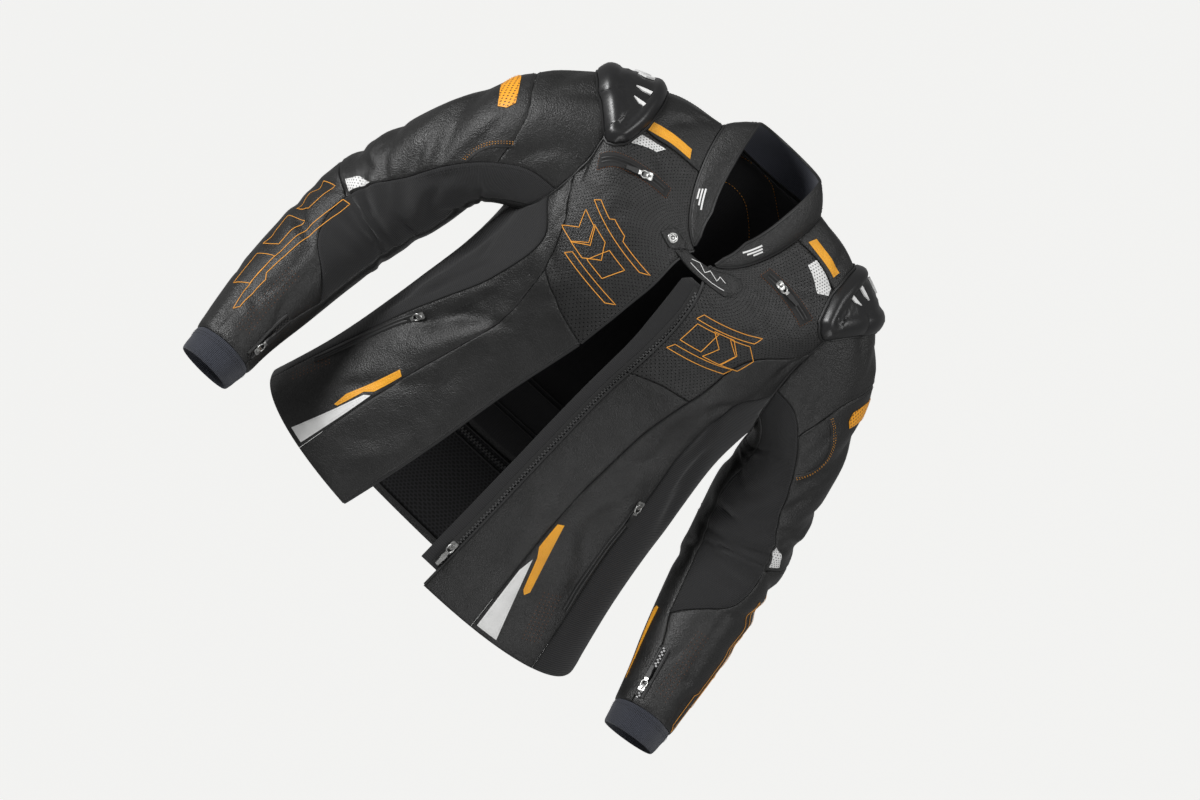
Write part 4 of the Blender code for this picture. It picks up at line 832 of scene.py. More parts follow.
def inside(points, loop):
    """Which points lie inside a closed loop."""
    x, y = points[:, 0][:, None], points[:, 1][:, None]
    x0, y0 = loop[:, 0][None, :], loop[:, 1][None, :]
    x1, y1 = np.roll(x0, -1, axis=1), np.roll(y0, -1, axis=1)
    crosses = (y0 > y) != (y1 > y)
    with np.errstate(divide="ignore", invalid="ignore"):
        at = x0 + (y - y0) * (x1 - x0) / (y1 - y0)
    return np.sum(crosses & (x < at), axis=1) % 2 == 1


def distance_to_loop(points, loop):
    start = loop[None, :, :]
    run = np.roll(loop, -1, axis=0)[None, :, :] - start
    offset = points[:, None, :] - start
    share = np.clip(np.sum(offset * run, axis=2) / np.maximum(np.sum(run * run, axis=2), 1e-12), 0, 1)
    return np.linalg.norm(offset - run * share[:, :, None], axis=2).min(axis=1)


class Web:
    """Triangles of one cut piece: places on the sheet, faces and distance from its edge."""

    def __init__(self, sheet, outline, step=MESH_STEP, inner=(), gap=SEAM_INSET):
        self.sheet = sheet
        outline = counter_clockwise(outline, sheet)
        self.outline = pull_in(outline, sheet, gap)
        loops = [self.outline] + [counter_clockwise(loop, sheet) for loop in inner]
        fixed = np.concatenate(loops)
        edges = []
        start = 0
        for loop in loops:
            size = len(loop)
            edges += [(start + i, start + (i + 1) % size) for i in range(size)]
            start += size
        flat_loops = [sheet.flat(loop) for loop in loops]
        low, high = flat_loops[0].min(axis=0), flat_loops[0].max(axis=0)
        rows = np.arange(low[1], high[1], step * 0.87)
        columns = np.arange(low[0], high[0] + step, step)
        grid = np.array([(x + (n % 2) * step / 2, y) for n, y in enumerate(rows) for x in columns])
        grid = grid[inside(grid, flat_loops[0])]
        away = distance_to_loop(grid, flat_loops[0])
        keep = away > step * 0.9
        for loop in flat_loops[1:]:
            keep &= distance_to_loop(grid, loop) > step * 0.4
        grid = grid[keep]
        ways = (EDGE_ROUND * 0.4, EDGE_ROUND, step * 0.62)
        ring = np.concatenate([sheet.flat(pull_in(self.outline, sheet, way)) for way in ways])
        ring = ring[inside(ring, flat_loops[0])]
        for loop in flat_loops[1:]:
            ring = ring[distance_to_loop(ring, loop) > step * 0.2]
        free = np.concatenate([grid, ring])
        flat = np.concatenate([sheet.flat(fixed), free])
        points, _, faces, _, _, _ = delaunay_2d_cdt([Vector(p) for p in flat], edges, [], 1, 1e-6)
        self.flat = np.array([tuple(p) for p in points])
        self.places = self.flat / np.array([sheet.radian, sheet.along])
        self.faces = [tuple(f) for f in faces]
        self.base = sheet.point(self.places)
        self.out = sheet.normal(self.places)
        self.edge = distance_to_loop(self.flat, flat_loops[0])

    def part(self, loop):
        """The faces that lie inside an inner loop."""
        flat_loop = self.sheet.flat(counter_clockwise(loop, self.sheet))
        middles = np.array([self.flat[list(f)].mean(axis=0) for f in self.faces])
        chosen = inside(middles, flat_loop)
        return [f for f, take in zip(self.faces, chosen) if take]


def add_object(name, points, faces, slot, places=None):
    mesh = bpy.data.meshes.new(name)
    mesh.from_pydata([tuple(p) for p in points], [], faces)
    mesh.materials.append(MATERIALS[slot])
    if places is not None:
        layer = mesh.uv_layers.new(name="UVMap")
        corner = np.empty(len(mesh.loops), dtype=np.int32)
        mesh.loops.foreach_get("vertex_index", corner)
        layer.data.foreach_set("uv", places[corner].astype(np.float32).ravel())
    mesh.shade_smooth()
    mesh.set_sharp_from_angle(angle=radians(50))
    made = bpy.data.objects.new(name, mesh)
    bpy.context.collection.objects.link(made)
    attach(made, "jacket")
    return made


def closed_faces(upper, count):
    """Faces of a closed wall: the upper ones, the same turned over, and the sides between them."""
    lower = [tuple(count + i for i in reversed(f)) for f in upper]
    directed = {(f[k], f[(k + 1) % len(f)]) for f in upper for k in range(len(f))}
    sides = [(b, a, count + a, count + b) for a, b in directed if (b, a) not in directed]
    return upper + lower + sorted(sides)


def wall(name, web, faces, low, high, slot):
    """Closed wall between two distances out from the sheet; each may be one per point."""
    low = np.broadcast_to(low, len(web.base))
    high = np.broadcast_to(high, len(web.base))
    used = sorted({i for f in faces for i in f})
    new = {old: n for n, old in enumerate(used)}
    top = web.base[used] + web.out[used] * high[used][:, None]
    bottom = web.base[used] + web.out[used] * low[used][:, None]
    upper = [tuple(new[i] for i in f) for f in faces]
    flat = np.concatenate([web.flat[used], web.flat[used]])
    return add_object(name, np.concatenate([top, bottom]), closed_faces(upper, len(used)), slot, flat)


def mesh_area(points, faces):
    first, second, third = points[np.array([f[:3] for f in faces])].transpose(1, 0, 2)
    return np.linalg.norm(np.cross(second - first, third - first), axis=1).sum() / 2


def cut_to_size(web, faces):
    """Works out the flat cut's area and the rectangle it comes out of, and keeps neither."""
    area = float(mesh_area(web.base, faces))
    used = np.array(sorted({i for f in faces for i in f}))
    span = np.ptp(web.flat[used], axis=0)
    scale = max(1.0, (area / (span[0] * span[1] * CUT_FILL_MOST)) ** 0.5)
    width, length = span * scale
    if area < CUT_FILL_LEAST * width * length:
        width = area / CUT_FILL_AIM / length


def sewn_panel(name, web, slot, thick=LEATHER, depth=0.0, relief=1.0):
    """A panel with rounded, sunk edges and a slight swell beside its seams."""
    into = np.clip(web.edge / EDGE_ROUND, 0, 1)
    drop = EDGE_DROP * (1 - into) ** 2
    swell = PUFF_RISE * np.clip(web.edge / PUFF_WAY, 0, 1) * np.exp(-(web.edge / PUFF_WAY) ** 2) * 2
    high = -depth + relief * (swell - drop)
    made = wall(name, web, web.faces, -depth - thick, high, slot)
    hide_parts(name.replace("_cloth", ""))
    cut_to_size(web, web.faces)
    return made


def laid_piece(name, web, loop, slot, thick=PATCH, depth=0.0):
    """A flat piece made from its panel's points, moved out."""
    faces = web.part(loop)
    edge = distance_to_loop(web.flat, web.sheet.flat(loop))
    high = GAP - depth + thick - 0.0005 * (1 - np.clip(edge / 0.0016, 0, 1)) ** 2
    made = wall(name, web, faces, GAP - depth, high, slot)
    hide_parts(name.replace("_cloth", ""))
    cut_to_size(web, faces)
    return made


def within(sheet, places):
    """Places kept off the very ends of a sheet."""
    return np.column_stack([places[:, 0], np.clip(places[:, 1], *sheet.limits)])


def along_line(sheet, line, pitch, closed=False):
    """Points, directions and normals at an even pitch along a line of places."""
    rows = within(sheet, line)
    if closed:
        rows = np.concatenate([rows, rows[:1]])
    reach = np.linalg.norm(np.diff(sheet.flat(rows), axis=0), axis=1)
    keep = np.concatenate([[True], reach > 1e-7])
    rows = rows[keep]
    knots = np.concatenate([[0], np.cumsum(np.linalg.norm(np.diff(sheet.flat(rows), axis=0), axis=1))])
    fine = np.linspace(0, knots[-1], max(8, int(knots[-1] / 0.002)))
    places = np.column_stack([np.interp(fine, knots, rows[:, 0]), np.interp(fine, knots, rows[:, 1])])
    real = sheet.point(places)
    way = np.concatenate([[0], np.cumsum(np.linalg.norm(np.diff(real, axis=0), axis=1))])
    at = np.arange(pitch / 2, way[-1], pitch)
    if len(at) < 2:
        at = np.array([way[-1] * 0.25, way[-1] * 0.75])
    spots = np.column_stack([np.interp(at, way, places[:, 0]), np.interp(at, way, places[:, 1])])
    points = sheet.point(spots)
    ahead = unit(np.gradient(points, axis=0))
    return points, ahead, sheet.normal(spots)


class Heap:
    """Collects many small meshes into one object."""

    def __init__(self):
        self.points = []
        self.faces = []
        self.count = 0

    def add(self, points, faces):
        self.points.append(points)
        self.faces += [tuple(self.count + i for i in f) for f in faces]
        self.count += len(points)

    def object(self, name, slot):
        return add_object(name, np.concatenate(self.points), self.faces, slot)


def stitches(heap, sheet, line, lift, closed=False, pitch=STITCH_PITCH, radius=STITCH_RADIUS,
             length=STITCH_LENGTH):
    """A row of short threads that dip into the cloth at both ends."""
    points, ahead, out = along_line(sheet, line, pitch, closed)
    side = np.cross(out, ahead)
    count = len(points)
    base = points + out * lift
    rings = [base - ahead * length / 2 - out * radius, base + side * radius, base + out * radius * 1.1,
             base - side * radius, base + ahead * length / 2 - out * radius]
    block = np.stack(rings, axis=1).reshape(-1, 3)
    pattern = ((0, 1, 2), (0, 2, 3), (4, 2, 1), (4, 3, 2), (0, 3, 4), (0, 4, 1))
    heap.add(block, [tuple(5 * n + i for i in f) for n in range(count) for f in pattern])


def tube(heap, points, out, radius, sides=6, closed=False, flat=1.0):
    """A cord along given points, its section a flattened ring."""
    ahead = unit(np.gradient(points, axis=0))
    side = unit(np.cross(out, ahead))
    up = unit(np.cross(ahead, side))
    turns = np.linspace(0, 2 * pi, sides, endpoint=False)
    ring = [points + side * radius * cos(t) + up * radius * flat * sin(t) for t in turns]
    block = np.stack(ring, axis=1).reshape(-1, 3)
    count = len(points)
    faces = []
    for n in range(count if closed else count - 1):
        a, b = sides * n, sides * ((n + 1) % count)
        faces += [(a + k, b + k, b + (k + 1) % sides, a + (k + 1) % sides) for k in range(sides)]
    if not closed:
        faces.append(tuple(range(sides)))
        faces.append(tuple(sides * (count - 1) + k for k in reversed(range(sides))))
    faces = [tuple(reversed(f)) for f in faces]
    heap.add(block, faces)


def thread(heap, sheet, line, radius, lift, closed=False, pitch=0.003, flat=1.0, sides=6):
    points, _, out = along_line(sheet, line, pitch, closed)
    tube(heap, points + out * lift, out, radius, sides, closed, flat)


def box_faces(heap, origin, along, across, out, sections):
    """A loft of four-sided sections: way, half width, low and high."""
    points = []
    for way, half, low, high in sections:
        for side, height in ((-half, low), (half, low), (half, high), (-half, high)):
            points.append(origin + along * way + across * side + out * height)
    faces = [(3, 2, 1, 0)]
    for n in range(len(sections) - 1):
        start = 4 * n
        faces += [(start + k, start + (k + 1) % 4, start + 4 + (k + 1) % 4, start + 4 + k) for k in range(4)]
    last = 4 * (len(sections) - 1)
    faces.append((last, last + 1, last + 2, last + 3))
    if np.cross(across, out) @ along < 0:
        faces = [tuple(reversed(f)) for f in faces]
    heap.add(np.array(points), faces)


def mirrored(rows, side):
    """Table rows with their angles signed for one side."""
    return [(first * side, second) for first, second in rows]


def local_frame(sheet, place, toward):
    """Point, outward direction and direction towards a second place on a sheet."""
    here = np.array([[*place, np.nan]])
    there = np.array([[*toward, np.nan]])
    point = sheet.point(here)[0]
    out = sheet.normal(here)[0]
    along = sheet.point(there)[0] - point
    along -= out * float(along @ out)
    along /= np.linalg.norm(along)
    return point, out, along


def front_pieces(side):
    """Chest, lower front, side front, side stretch and yoke of one side."""
    name = SIDE_NAMES[side]
    edge_rows = mirrored(FRONT_EDGE[side], side)
    edge_upper = smooth_line(edge_rows[:CHEST_POINT + 1], SEAM_STEP, BODY)
    edge_lower = smooth_line(edge_rows[CHEST_POINT:], SEAM_STEP, BODY)
    yoke_phi, princess_phi = YOKE_PHI[side], PRINCESS_PHI[side]
    side_phi, seam_phi = SIDE_EDGE_PHI[side], SIDE_SEAM_PHI[side]

    def seam(*rows):
        return smooth_line(list(rows), SEAM_STEP, BODY)

    def hole(phi):
        angle, level = armhole_place(np.array([float(phi)]))
        return (angle[0] * side, level[0])
    yoke = seam(*mirrored(YOKE_FRONT[side], side), hole(yoke_phi))
    yoke_back = seam(hole(YOKE_BACK_PHI), *mirrored(YOKE_BACK, side))
    princess_rows = [hole(princess_phi)] + mirrored(PRINCESS_UPPER[side], side)
    princess_upper = seam(*princess_rows)
    princess_lower = seam(princess_rows[-1], *mirrored(PRINCESS_LOWER[side], side))
    chest = seam(princess_rows[-1], *mirrored(CHEST_SEAM[side], side), edge_rows[CHEST_POINT])
    side_edge = seam(hole(side_phi), *mirrored(SIDE_EDGE[side], side))
    side_seam = seam(hole(seam_phi), *mirrored(SIDE_SEAM[side], side))
    neck_front = seam(edge_rows[0], yoke[0, :2])
    neck_side = seam(yoke_back[-1, :2], yoke[0, :2])
    hem_front = seam(princess_lower[-1, :2], edge_rows[-1])
    hem_side = seam(side_edge[-1, :2], princess_lower[-1, :2])
    hem_stretch = seam(side_seam[-1, :2], side_edge[-1, :2])
    laid = {key: polyline(mirrored(table[side], side), PATCH_STEP, BODY) for key, table in (
        ("white_shoulder", WHITE_SHOULDER), ("orange_shoulder", ORANGE_SHOULDER), ("white_hem", WHITE_HEM),
        ("orange_hem", ORANGE_HEM))}

    chest_web = Web(BODY, join_lines(neck_front, yoke, armhole_line(yoke_phi, princess_phi, True, side),
                                     princess_upper, chest, edge_upper[::-1]),
                    inner=[laid["white_shoulder"]])
    sewn_panel(f"chest_panel_{name}_cloth", chest_web, "chest_leather")
    laid_piece(f"shoulder_patch_white_{name}_cloth", chest_web, laid["white_shoulder"], "white_perforated")
    lower_web = Web(BODY, join_lines(chest[::-1], princess_lower, hem_front, edge_lower[::-1]))
    sewn_panel(f"front_lower_{name}_cloth", lower_web, "black_leather")
    side_web = Web(BODY, join_lines(armhole_line(princess_phi, side_phi, True, side), side_edge, hem_side,
                                    princess_lower[::-1], princess_upper[::-1]),
                   inner=[laid["white_hem"], laid["orange_hem"]])
    sewn_panel(f"side_front_{name}_cloth", side_web, "black_leather")
    laid_piece(f"hem_patch_white_{name}_cloth", side_web, laid["white_hem"], "white_leather")
    laid_piece(f"hem_patch_orange_{name}_cloth", side_web, laid["orange_hem"], "orange_leather")
    stretch_web = Web(BODY, join_lines(armhole_line(side_phi, seam_phi, True, side), side_seam, hem_stretch,
                                       side_edge[::-1]))
    sewn_panel(f"side_stretch_{name}_cloth", stretch_web, "stretch_fabric", FABRIC, 0.0002)
    yoke_web = Web(BODY, join_lines(neck_side, yoke, armhole_line(yoke_phi, YOKE_BACK_PHI, True, side),
                                    yoke_back), inner=[laid["orange_shoulder"]])
    sewn_panel(f"shoulder_yoke_{name}_cloth", yoke_web, "black_leather")
    laid_piece(f"shoulder_patch_orange_{name}_cloth", yoke_web, laid["orange_shoulder"], "orange_leather")
    return {"side_seam": side_seam, "yoke_back": yoke_back, "yoke": yoke, "princess_upper": princess_upper,
            "princess_lower": princess_lower, "chest": chest, "side_edge": side_edge,
            "edge_upper": edge_upper, "edge_lower": edge_lower, "hem_front": hem_front,
            "hem_side": hem_side, "laid": laid}


def turned(line):
    moved = line.copy()
    moved[:, 0] = np.where(moved[:, 0] < 0, moved[:, 0] + 360, moved[:, 0])
    return moved


def back_panel(right, left):
    """The back, from one side seam round to the other, with the lining and mesh on its inner face."""
    right_seam, right_yoke = turned(right["side_seam"]), turned(right["yoke_back"])
    left_seam, left_yoke = left["side_seam"], left["yoke_back"]
    right_hole = turned(armhole_line(YOKE_BACK_PHI, SIDE_SEAM_PHI[RIGHT] - 360, True, RIGHT))
    left_hole = armhole_line(SIDE_SEAM_PHI[LEFT] - 360, YOKE_BACK_PHI, True, LEFT)
    hem = smooth_line([left_seam[-1, :2], (180, 0), right_seam[-1, :2]], SEAM_STEP, BODY)
    neck = smooth_line([left_yoke[-1, :2], (180, NECK_LEVEL), right_yoke[-1, :2]], SEAM_STEP, BODY)
    outline = join_lines(left_seam[::-1], left_hole, left_yoke, neck, right_yoke[::-1], right_hole,
                         right_seam, hem[::-1])
    lining = polyline(LINING_OUTLINE, SEAM_STEP, BODY)
    mesh = polyline(MESH_OUTLINE, SEAM_STEP, BODY)
    web = Web(BODY, outline, inner=[lining, mesh], step=BACK_STEP)
    sewn_panel("back_panel_cloth", web, "black_leather")
    inner_face = -LEATHER - GAP
    for name, loop in (("back_lining", lining), ("lining_mesh", mesh)):
        faces = web.part(loop)
        made = wall(f"{name}_cloth", web, faces, inner_face - FABRIC, inner_face, name)
        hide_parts(name)
        cut_to_size(web, faces)


def sleeve_pieces(side):
    """The cut pieces of one sleeve and its patches."""
    name = SIDE_NAMES[side]
    sheet = SLEEVES[side]
    back_phi = INNER_SEAM_PHI - 360

    def line(*rows):
        return smooth_line(mirrored(rows, side), SEAM_STEP, sheet)

    def inner_seam(first, last, phi):
        return line((phi, first), (phi, last))
    stretch_upper = line((STRETCH_TOP_PHI, 0), *STRETCH_UPPER)
    cap_seam = line(STRETCH_UPPER[-1], *CAP_SEAM)
    stretch_middle = line(STRETCH_UPPER[-1], *STRETCH_MIDDLE)
    stretch_lower = line(STRETCH_MIDDLE[-1], *STRETCH_LOWER)
    strip_upper = line((STRIP_TOP_PHI, 0), *STRIP_UPPER)
    strip_lower = line(STRIP_UPPER[-1], *STRIP_LOWER)
    elbow = line(STRETCH_MIDDLE[-1], *ELBOW_SEAM)
    cap_level, elbow_level = CAP_SEAM[-1][1], ELBOW_SEAM[-1][1]
    patches = {key: polyline(mirrored(rows, side), PATCH_STEP, sheet) for key, rows in (
        ("orange", ORANGE_SLEEVE), ("white", WHITE_ELBOW), ("forearm", ORANGE_FOREARM))}

    cap_web = Web(sheet, join_lines(armhole_line(back_phi, STRETCH_TOP_PHI, False, side), stretch_upper,
                                    cap_seam, inner_seam(cap_level, 0, back_phi)))
    sewn_panel(f"sleeve_cap_{name}_cloth", cap_web, "black_leather")
    outer_web = Web(sheet, join_lines(cap_seam[::-1], stretch_middle, elbow,
                                      inner_seam(elbow_level, cap_level, back_phi)),
                    inner=[patches["orange"], patches["white"]])
    sewn_panel(f"sleeve_outer_{name}_cloth", outer_web, "black_leather")
    laid_piece(f"sleeve_patch_orange_{name}_cloth", outer_web, patches["orange"], "orange_perforated")
    laid_piece(f"elbow_patch_white_{name}_cloth", outer_web, patches["white"], "white_perforated")
    stretch_web = Web(sheet, join_lines(armhole_line(STRETCH_TOP_PHI, STRIP_TOP_PHI, False, side),
                                        strip_upper, stretch_lower[::-1], stretch_middle[::-1],
                                        stretch_upper[::-1]))
    sewn_panel(f"sleeve_stretch_{name}_cloth", stretch_web, "stretch_fabric", FABRIC, 0.0002)
    strip_ends = [inner_seam(first, last, INNER_SEAM_PHI) for first, last in (
        (0, cap_level), (cap_level, elbow_level), (elbow_level, SLEEVE_LENGTH))]
    strip_hem = line((INNER_SEAM_PHI, SLEEVE_LENGTH), STRIP_LOWER[-1])
    forearm_patch = [patches["forearm"]] if side == LEFT else []
    strip_web = Web(sheet, join_lines(armhole_line(STRIP_TOP_PHI, INNER_SEAM_PHI, False, side), *strip_ends,
                                      strip_hem, strip_lower[::-1], strip_upper[::-1]), inner=forearm_patch)
    sewn_panel(f"sleeve_strip_{name}_cloth", strip_web, "black_leather")
    for loop in forearm_patch:
        laid_piece(f"forearm_patch_orange_{name}_cloth", strip_web, loop, "orange_leather")
    forearm_hem = line(STRIP_LOWER[-1], (back_phi, SLEEVE_LENGTH))
    forearm_web = Web(sheet, join_lines(elbow[::-1], stretch_lower, strip_lower, forearm_hem,
                                        inner_seam(SLEEVE_LENGTH, elbow_level, back_phi)))
    sewn_panel(f"forearm_{name}_cloth", forearm_web, "black_leather")
    cuff_web = Web(sheet, join_lines(line((back_phi, SLEEVE_LENGTH), (INNER_SEAM_PHI, SLEEVE_LENGTH)),
                                     inner_seam(SLEEVE_LENGTH, CUFF_END, INNER_SEAM_PHI),
                                     line((INNER_SEAM_PHI, CUFF_END), (back_phi, CUFF_END)),
                                     inner_seam(CUFF_END, SLEEVE_LENGTH, back_phi)), step=CUFF_STEP)
    sewn_panel(f"knit_cuff_{name}_cloth", cuff_web, "knit_cuff", 0.0018, 0.0006)
    return {"cap_seam": cap_seam, "stretch_upper": stretch_upper, "stretch_middle": stretch_middle,
            "stretch_lower": stretch_lower, "strip_upper": strip_upper, "strip_lower": strip_lower,
            "elbow": elbow, "forearm_hem": forearm_hem, "strip_hem": strip_hem, "patches": patches}


def collar_pieces():
    web = Web(COLLAR, polyline(COLLAR_OUTLINE, SEAM_STEP, COLLAR))
    sewn_panel("collar_outer_cloth", web, "black_leather")
    sewn_panel("collar_lining_cloth", web, "collar_lining", FABRIC, LEATHER + GAP, relief=0.0)


def neck_pieces():
    """Neck tab and the strap that crosses the opening."""
    for name, outline, thick in (("neck_tab", NECK_TAB, 0.0016), ("neck_strap", NECK_STRAP, STRAP_LIFT)):
        loop = polyline(outline, PATCH_STEP, BODY)
        web = Web(BODY, loop, step=PATCH_STEP)
        into = np.clip(web.edge / 0.0012, 0, 1)
        high = GAP + thick - 0.0006 * (1 - into) ** 2
        made = wall(f"{name}_cloth", web, web.faces, GAP, high, "black_leather")
        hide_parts(name)
        cut_to_size(web, web.faces)


def front_closure():
    """Wind flap behind the left front."""
    depth = LEATHER + FLAP_CLEARANCE
    web = Web(BODY, polyline(FLAP_OUTLINE, SEAM_STEP, BODY))
    sewn_panel("wind_flap_cloth", web, "stretch_fabric", FABRIC, depth, relief=0.5)


def step_lengths(sheet, places):
    """Real vectors of one degree and one metre along, at places on a sheet."""
    here = sheet.point(places)
    turn = (sheet.point(places + np.array([0.2, 0])) - here) / 0.2
    step = np.where(places[:, 1] > 0.3, -0.001, 0.001) / sheet.along
    rise = (sheet.point(places + np.stack([0 * step, step], axis=1)) - here) / step[:, None]
    return turn, rise


def beside(sheet, line, way):
    """A line that runs a real distance to the left of another one, seen from outside."""
    rows = within(sheet, line)
    reach = np.linalg.norm(np.diff(sheet.flat(rows), axis=0), axis=1)
    rows = rows[np.concatenate([[True], reach > 1e-7])]
    knots = np.concatenate([[0], np.cumsum(np.linalg.norm(np.diff(sheet.flat(rows), axis=0), axis=1))])
    at = np.linspace(0, knots[-1], max(4, int(knots[-1] / 0.005)))
    places = np.column_stack([np.interp(at, knots, rows[:, 0]), np.interp(at, knots, rows[:, 1])])
    ahead = unit(np.gradient(sheet.point(places), axis=0))
    side = np.cross(sheet.normal(places), ahead)
    turn, rise = step_lengths(sheet, places)
    cross = np.sum(turn * rise, axis=1)
    turn_size, rise_size = np.sum(turn * turn, axis=1), np.sum(rise * rise, axis=1)
    to_turn, to_rise = np.sum(turn * side, axis=1), np.sum(rise * side, axis=1)
    size = turn_size * rise_size - cross ** 2
    turn_share = (to_turn * rise_size - to_rise * cross) / size
    rise_share = (to_rise * turn_size - to_turn * cross) / size
    return within(sheet, places + np.stack([turn_share, rise_share], axis=1) * way)


def shape_on(sheet, centre, corners, tilt=0.0, closed=True):
    """Places of a flat drawing in metres, laid on a sheet round a centre."""
    places = np.array([centre], dtype=float)
    turn, rise = step_lengths(sheet, places)
    across = turn[0] / np.linalg.norm(turn[0])
    up = rise[0] - across * (rise[0] @ across)
    up /= np.linalg.norm(up)
    c, s = cos(radians(tilt)), sin(radians(tilt))
    size = np.array([[turn[0] @ across, rise[0] @ across], [turn[0] @ up, rise[0] @ up]])
    rows = []
    for x, y in corners:
        rows.append(np.linalg.solve(size, np.array([x * c - y * s, x * s + y * c])) + places[0])
    if closed:
        rows.append(rows[0])
    return np.array(rows)


def polygon(sheet, rows, step=0.003):
    """Straight runs between places, sampled closely."""
    flat = sheet.flat(rows)
    parts = []
    for first, last, a, b in zip(rows[:-1], rows[1:], flat[:-1], flat[1:]):
        count = max(1, int(np.linalg.norm(b - a) / step))
        parts += [first + (last - first) * n / count for n in range(count)]
    return np.array(parts + [rows[-1]])


def fine_thread(heap, sheet, rows, radius, lift, flat=0.6):
    """A cord along places, run over corners without rounding."""
    places = polygon(sheet, rows)
    points = sheet.point(places)
    out = sheet.normal(places)
    keep = np.concatenate([[True], np.linalg.norm(np.diff(points, axis=0), axis=1) > 1e-5])
    tube(heap, points[keep] + out[keep] * lift, out[keep], radius, 5, False, flat)


def stitch_fronts(heaps, seams, side):
    """Topstitching, piping and edge rows of one front."""
    for key, ways in BODY_STITCHES:
        for way in ways:
            stitches(heaps["thread_black"], BODY, beside(BODY, seams[key], way * side), STITCH_LIFT)
    for key in ("edge_upper", "edge_lower"):
        thread(heaps["piping"], BODY, seams[key], *EDGE_PIPING)
    for places, tilt, corners in CHEST_ART[side]:
        rows = shape_on(BODY, (places[0] * side, places[1]), corners, tilt)
        fine_thread(heaps["thread_orange"], BODY, rows, *OUTLINE_CORD)
    dot_band(heaps["thread_brown"], BODY, HEM_DOTS[side], side)
    for key in ("white_shoulder", "orange_shoulder", "white_hem", "orange_hem"):
        loop = counter_clockwise(seams["laid"][key], BODY)
        inner = pull_in(loop, BODY, 0.0022)
        slot = "thread_orange" if key.startswith("orange") else "thread_white"
        stitches(heaps[slot], BODY, inner, PATCH_STITCH_LIFT, closed=True, **PATCH_THREAD)


def stitch_sleeve(heaps, seams, side):
    """Topstitching, the piped insert, patch threads and stitched outlines of one sleeve."""
    sheet = SLEEVES[side]
    for key, ways in SLEEVE_STITCHES:
        for way in ways:
            stitches(heaps["thread_black"], sheet, beside(sheet, seams[key], way * side), STITCH_LIFT)
    dot_band(heaps["thread_brown"], sheet, FOREARM_DOTS, side)
    insert = smooth_line(mirrored(SLEEVE_INSERT[side], side), SEAM_STEP, sheet)
    thread(heaps["piping"], sheet, insert, *INSERT_PIPING)
    for way in INSERT_ROWS:
        row = beside(sheet, insert, way * side)
        stitches(heaps["thread_orange"], sheet, row, STITCH_LIFT, **INSERT_THREAD)
    for key in ("orange", "white", "forearm") if side == LEFT else ("orange", "white"):
        inner = pull_in(counter_clockwise(seams["patches"][key], sheet), sheet, 0.0018)
        slot = "thread_white" if key == "white" else "thread_orange"
        stitches(heaps[slot], sheet, inner, PATCH_STITCH_LIFT, closed=True, **PATCH_THREAD)
    for places, tilt, corners in FOREARM_ART[side]:
        turned_corners = [(x * side, y) for x, y in corners]
        rows = shape_on(sheet, (places[0] * side, places[1]), turned_corners, tilt * side)
        fine_thread(heaps["thread_orange"], sheet, rows, *OUTLINE_CORD)


def armhole_seam(heap, side):
    """Turned-in edges behind the armhole seam, which fill the valley between body and sleeve."""
    phi = np.arange(0.0, 360.0, ARMHOLE_SEAM_STEP)
    angle, level = armhole_place(phi)
    on_body = np.column_stack([angle * side, level])
    on_sleeve = np.column_stack([phi * side, np.full(len(phi), 0.001)])
    out = unit(BODY.normal(on_body) + SLEEVES[side].normal(on_sleeve))
    tube(heap, BODY.point(on_body) - out * ARMHOLE_SEAM, out, ARMHOLE_SEAM, 8, closed=True)


def dot_band(heap, sheet, band, side):
    """Rows of small dots side by side."""
    first, last, count = band
    line = middle_line(*mirrored((first, last), side))
    for n in range(count):
        stitches(heap, sheet, beside(sheet, line, (n - count / 2) * DOT_PITCH), DOT_LIFT, **DOT_THREAD)


def zip_teeth(heap, sheet, line, lift, pitch=0.0026, half=0.0022, height=0.0011):
    """Interlocked teeth, alternately to one side and the other."""
    points, ahead, out = along_line(sheet, line, pitch)
    side = np.cross(out, ahead)
    for n, (point, forward, up, across) in enumerate(zip(points, ahead, out, side)):
        shift = half * 0.45 * (1 if n % 2 else -1)
        origin = point + across * shift + up * lift
        box_faces(heap, origin - forward * pitch * 0.36, forward, across, up,
                  ((0, half * 0.62, 0, height), (pitch * 0.72, half * 0.62, 0, height)))


def slider(heap, point, along, out, lift, size=1.0):
    """Body of a zip slider with its bridge."""
    across = np.cross(out, along)
    for sections, rise in ((SLIDER_BODY, 0.0), (SLIDER_BRIDGE, SLIDER_HEIGHT)):
        rows = [(way * size, half * size, low, high) for way, half, low, high in sections]
        box_faces(heap, point + out * (lift + rise), along, across, out, rows)


def welt_zip(heaps, sheet, loop, middle, frame_slot):
    """Two lips over a closed zip, with a stitched frame round them."""
    frame_line = pull_in(counter_clockwise(loop, sheet), sheet, -0.0004)
    stitches(heaps[frame_slot], sheet, frame_line, ZIP_STITCH_LIFT, closed=True, **ZIP_THREAD)
    for way in (-WELT_WAY, WELT_WAY):
        lip = beside(sheet, middle, way)
        thread(heaps["black_rubber"], sheet, lip, WELT_RADIUS, 0.0004, flat=0.85, sides=8)


def zip_body(name, sheet, loop, rise, rim, edge_round=0.003):
    """The tape and flap of a zip, raised a little over its panel."""
    web = Web(sheet, loop, step=0.004)
    inwards = np.clip(web.edge / edge_round, 0, 1)
    high = GAP + rim + rise * np.sin(inwards * pi / 2)
    made = wall(f"{name}_cloth", web, web.faces, GAP, high, "zip_tape")
    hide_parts(name)
    cut_to_size(web, web.faces)


def middle_line(first, last, count=12):
    """Straight run of places between two places."""
    share = np.linspace(0, 1, count)[:, None]
    return np.array([first]) + (np.array([last]) - np.array([first])) * share


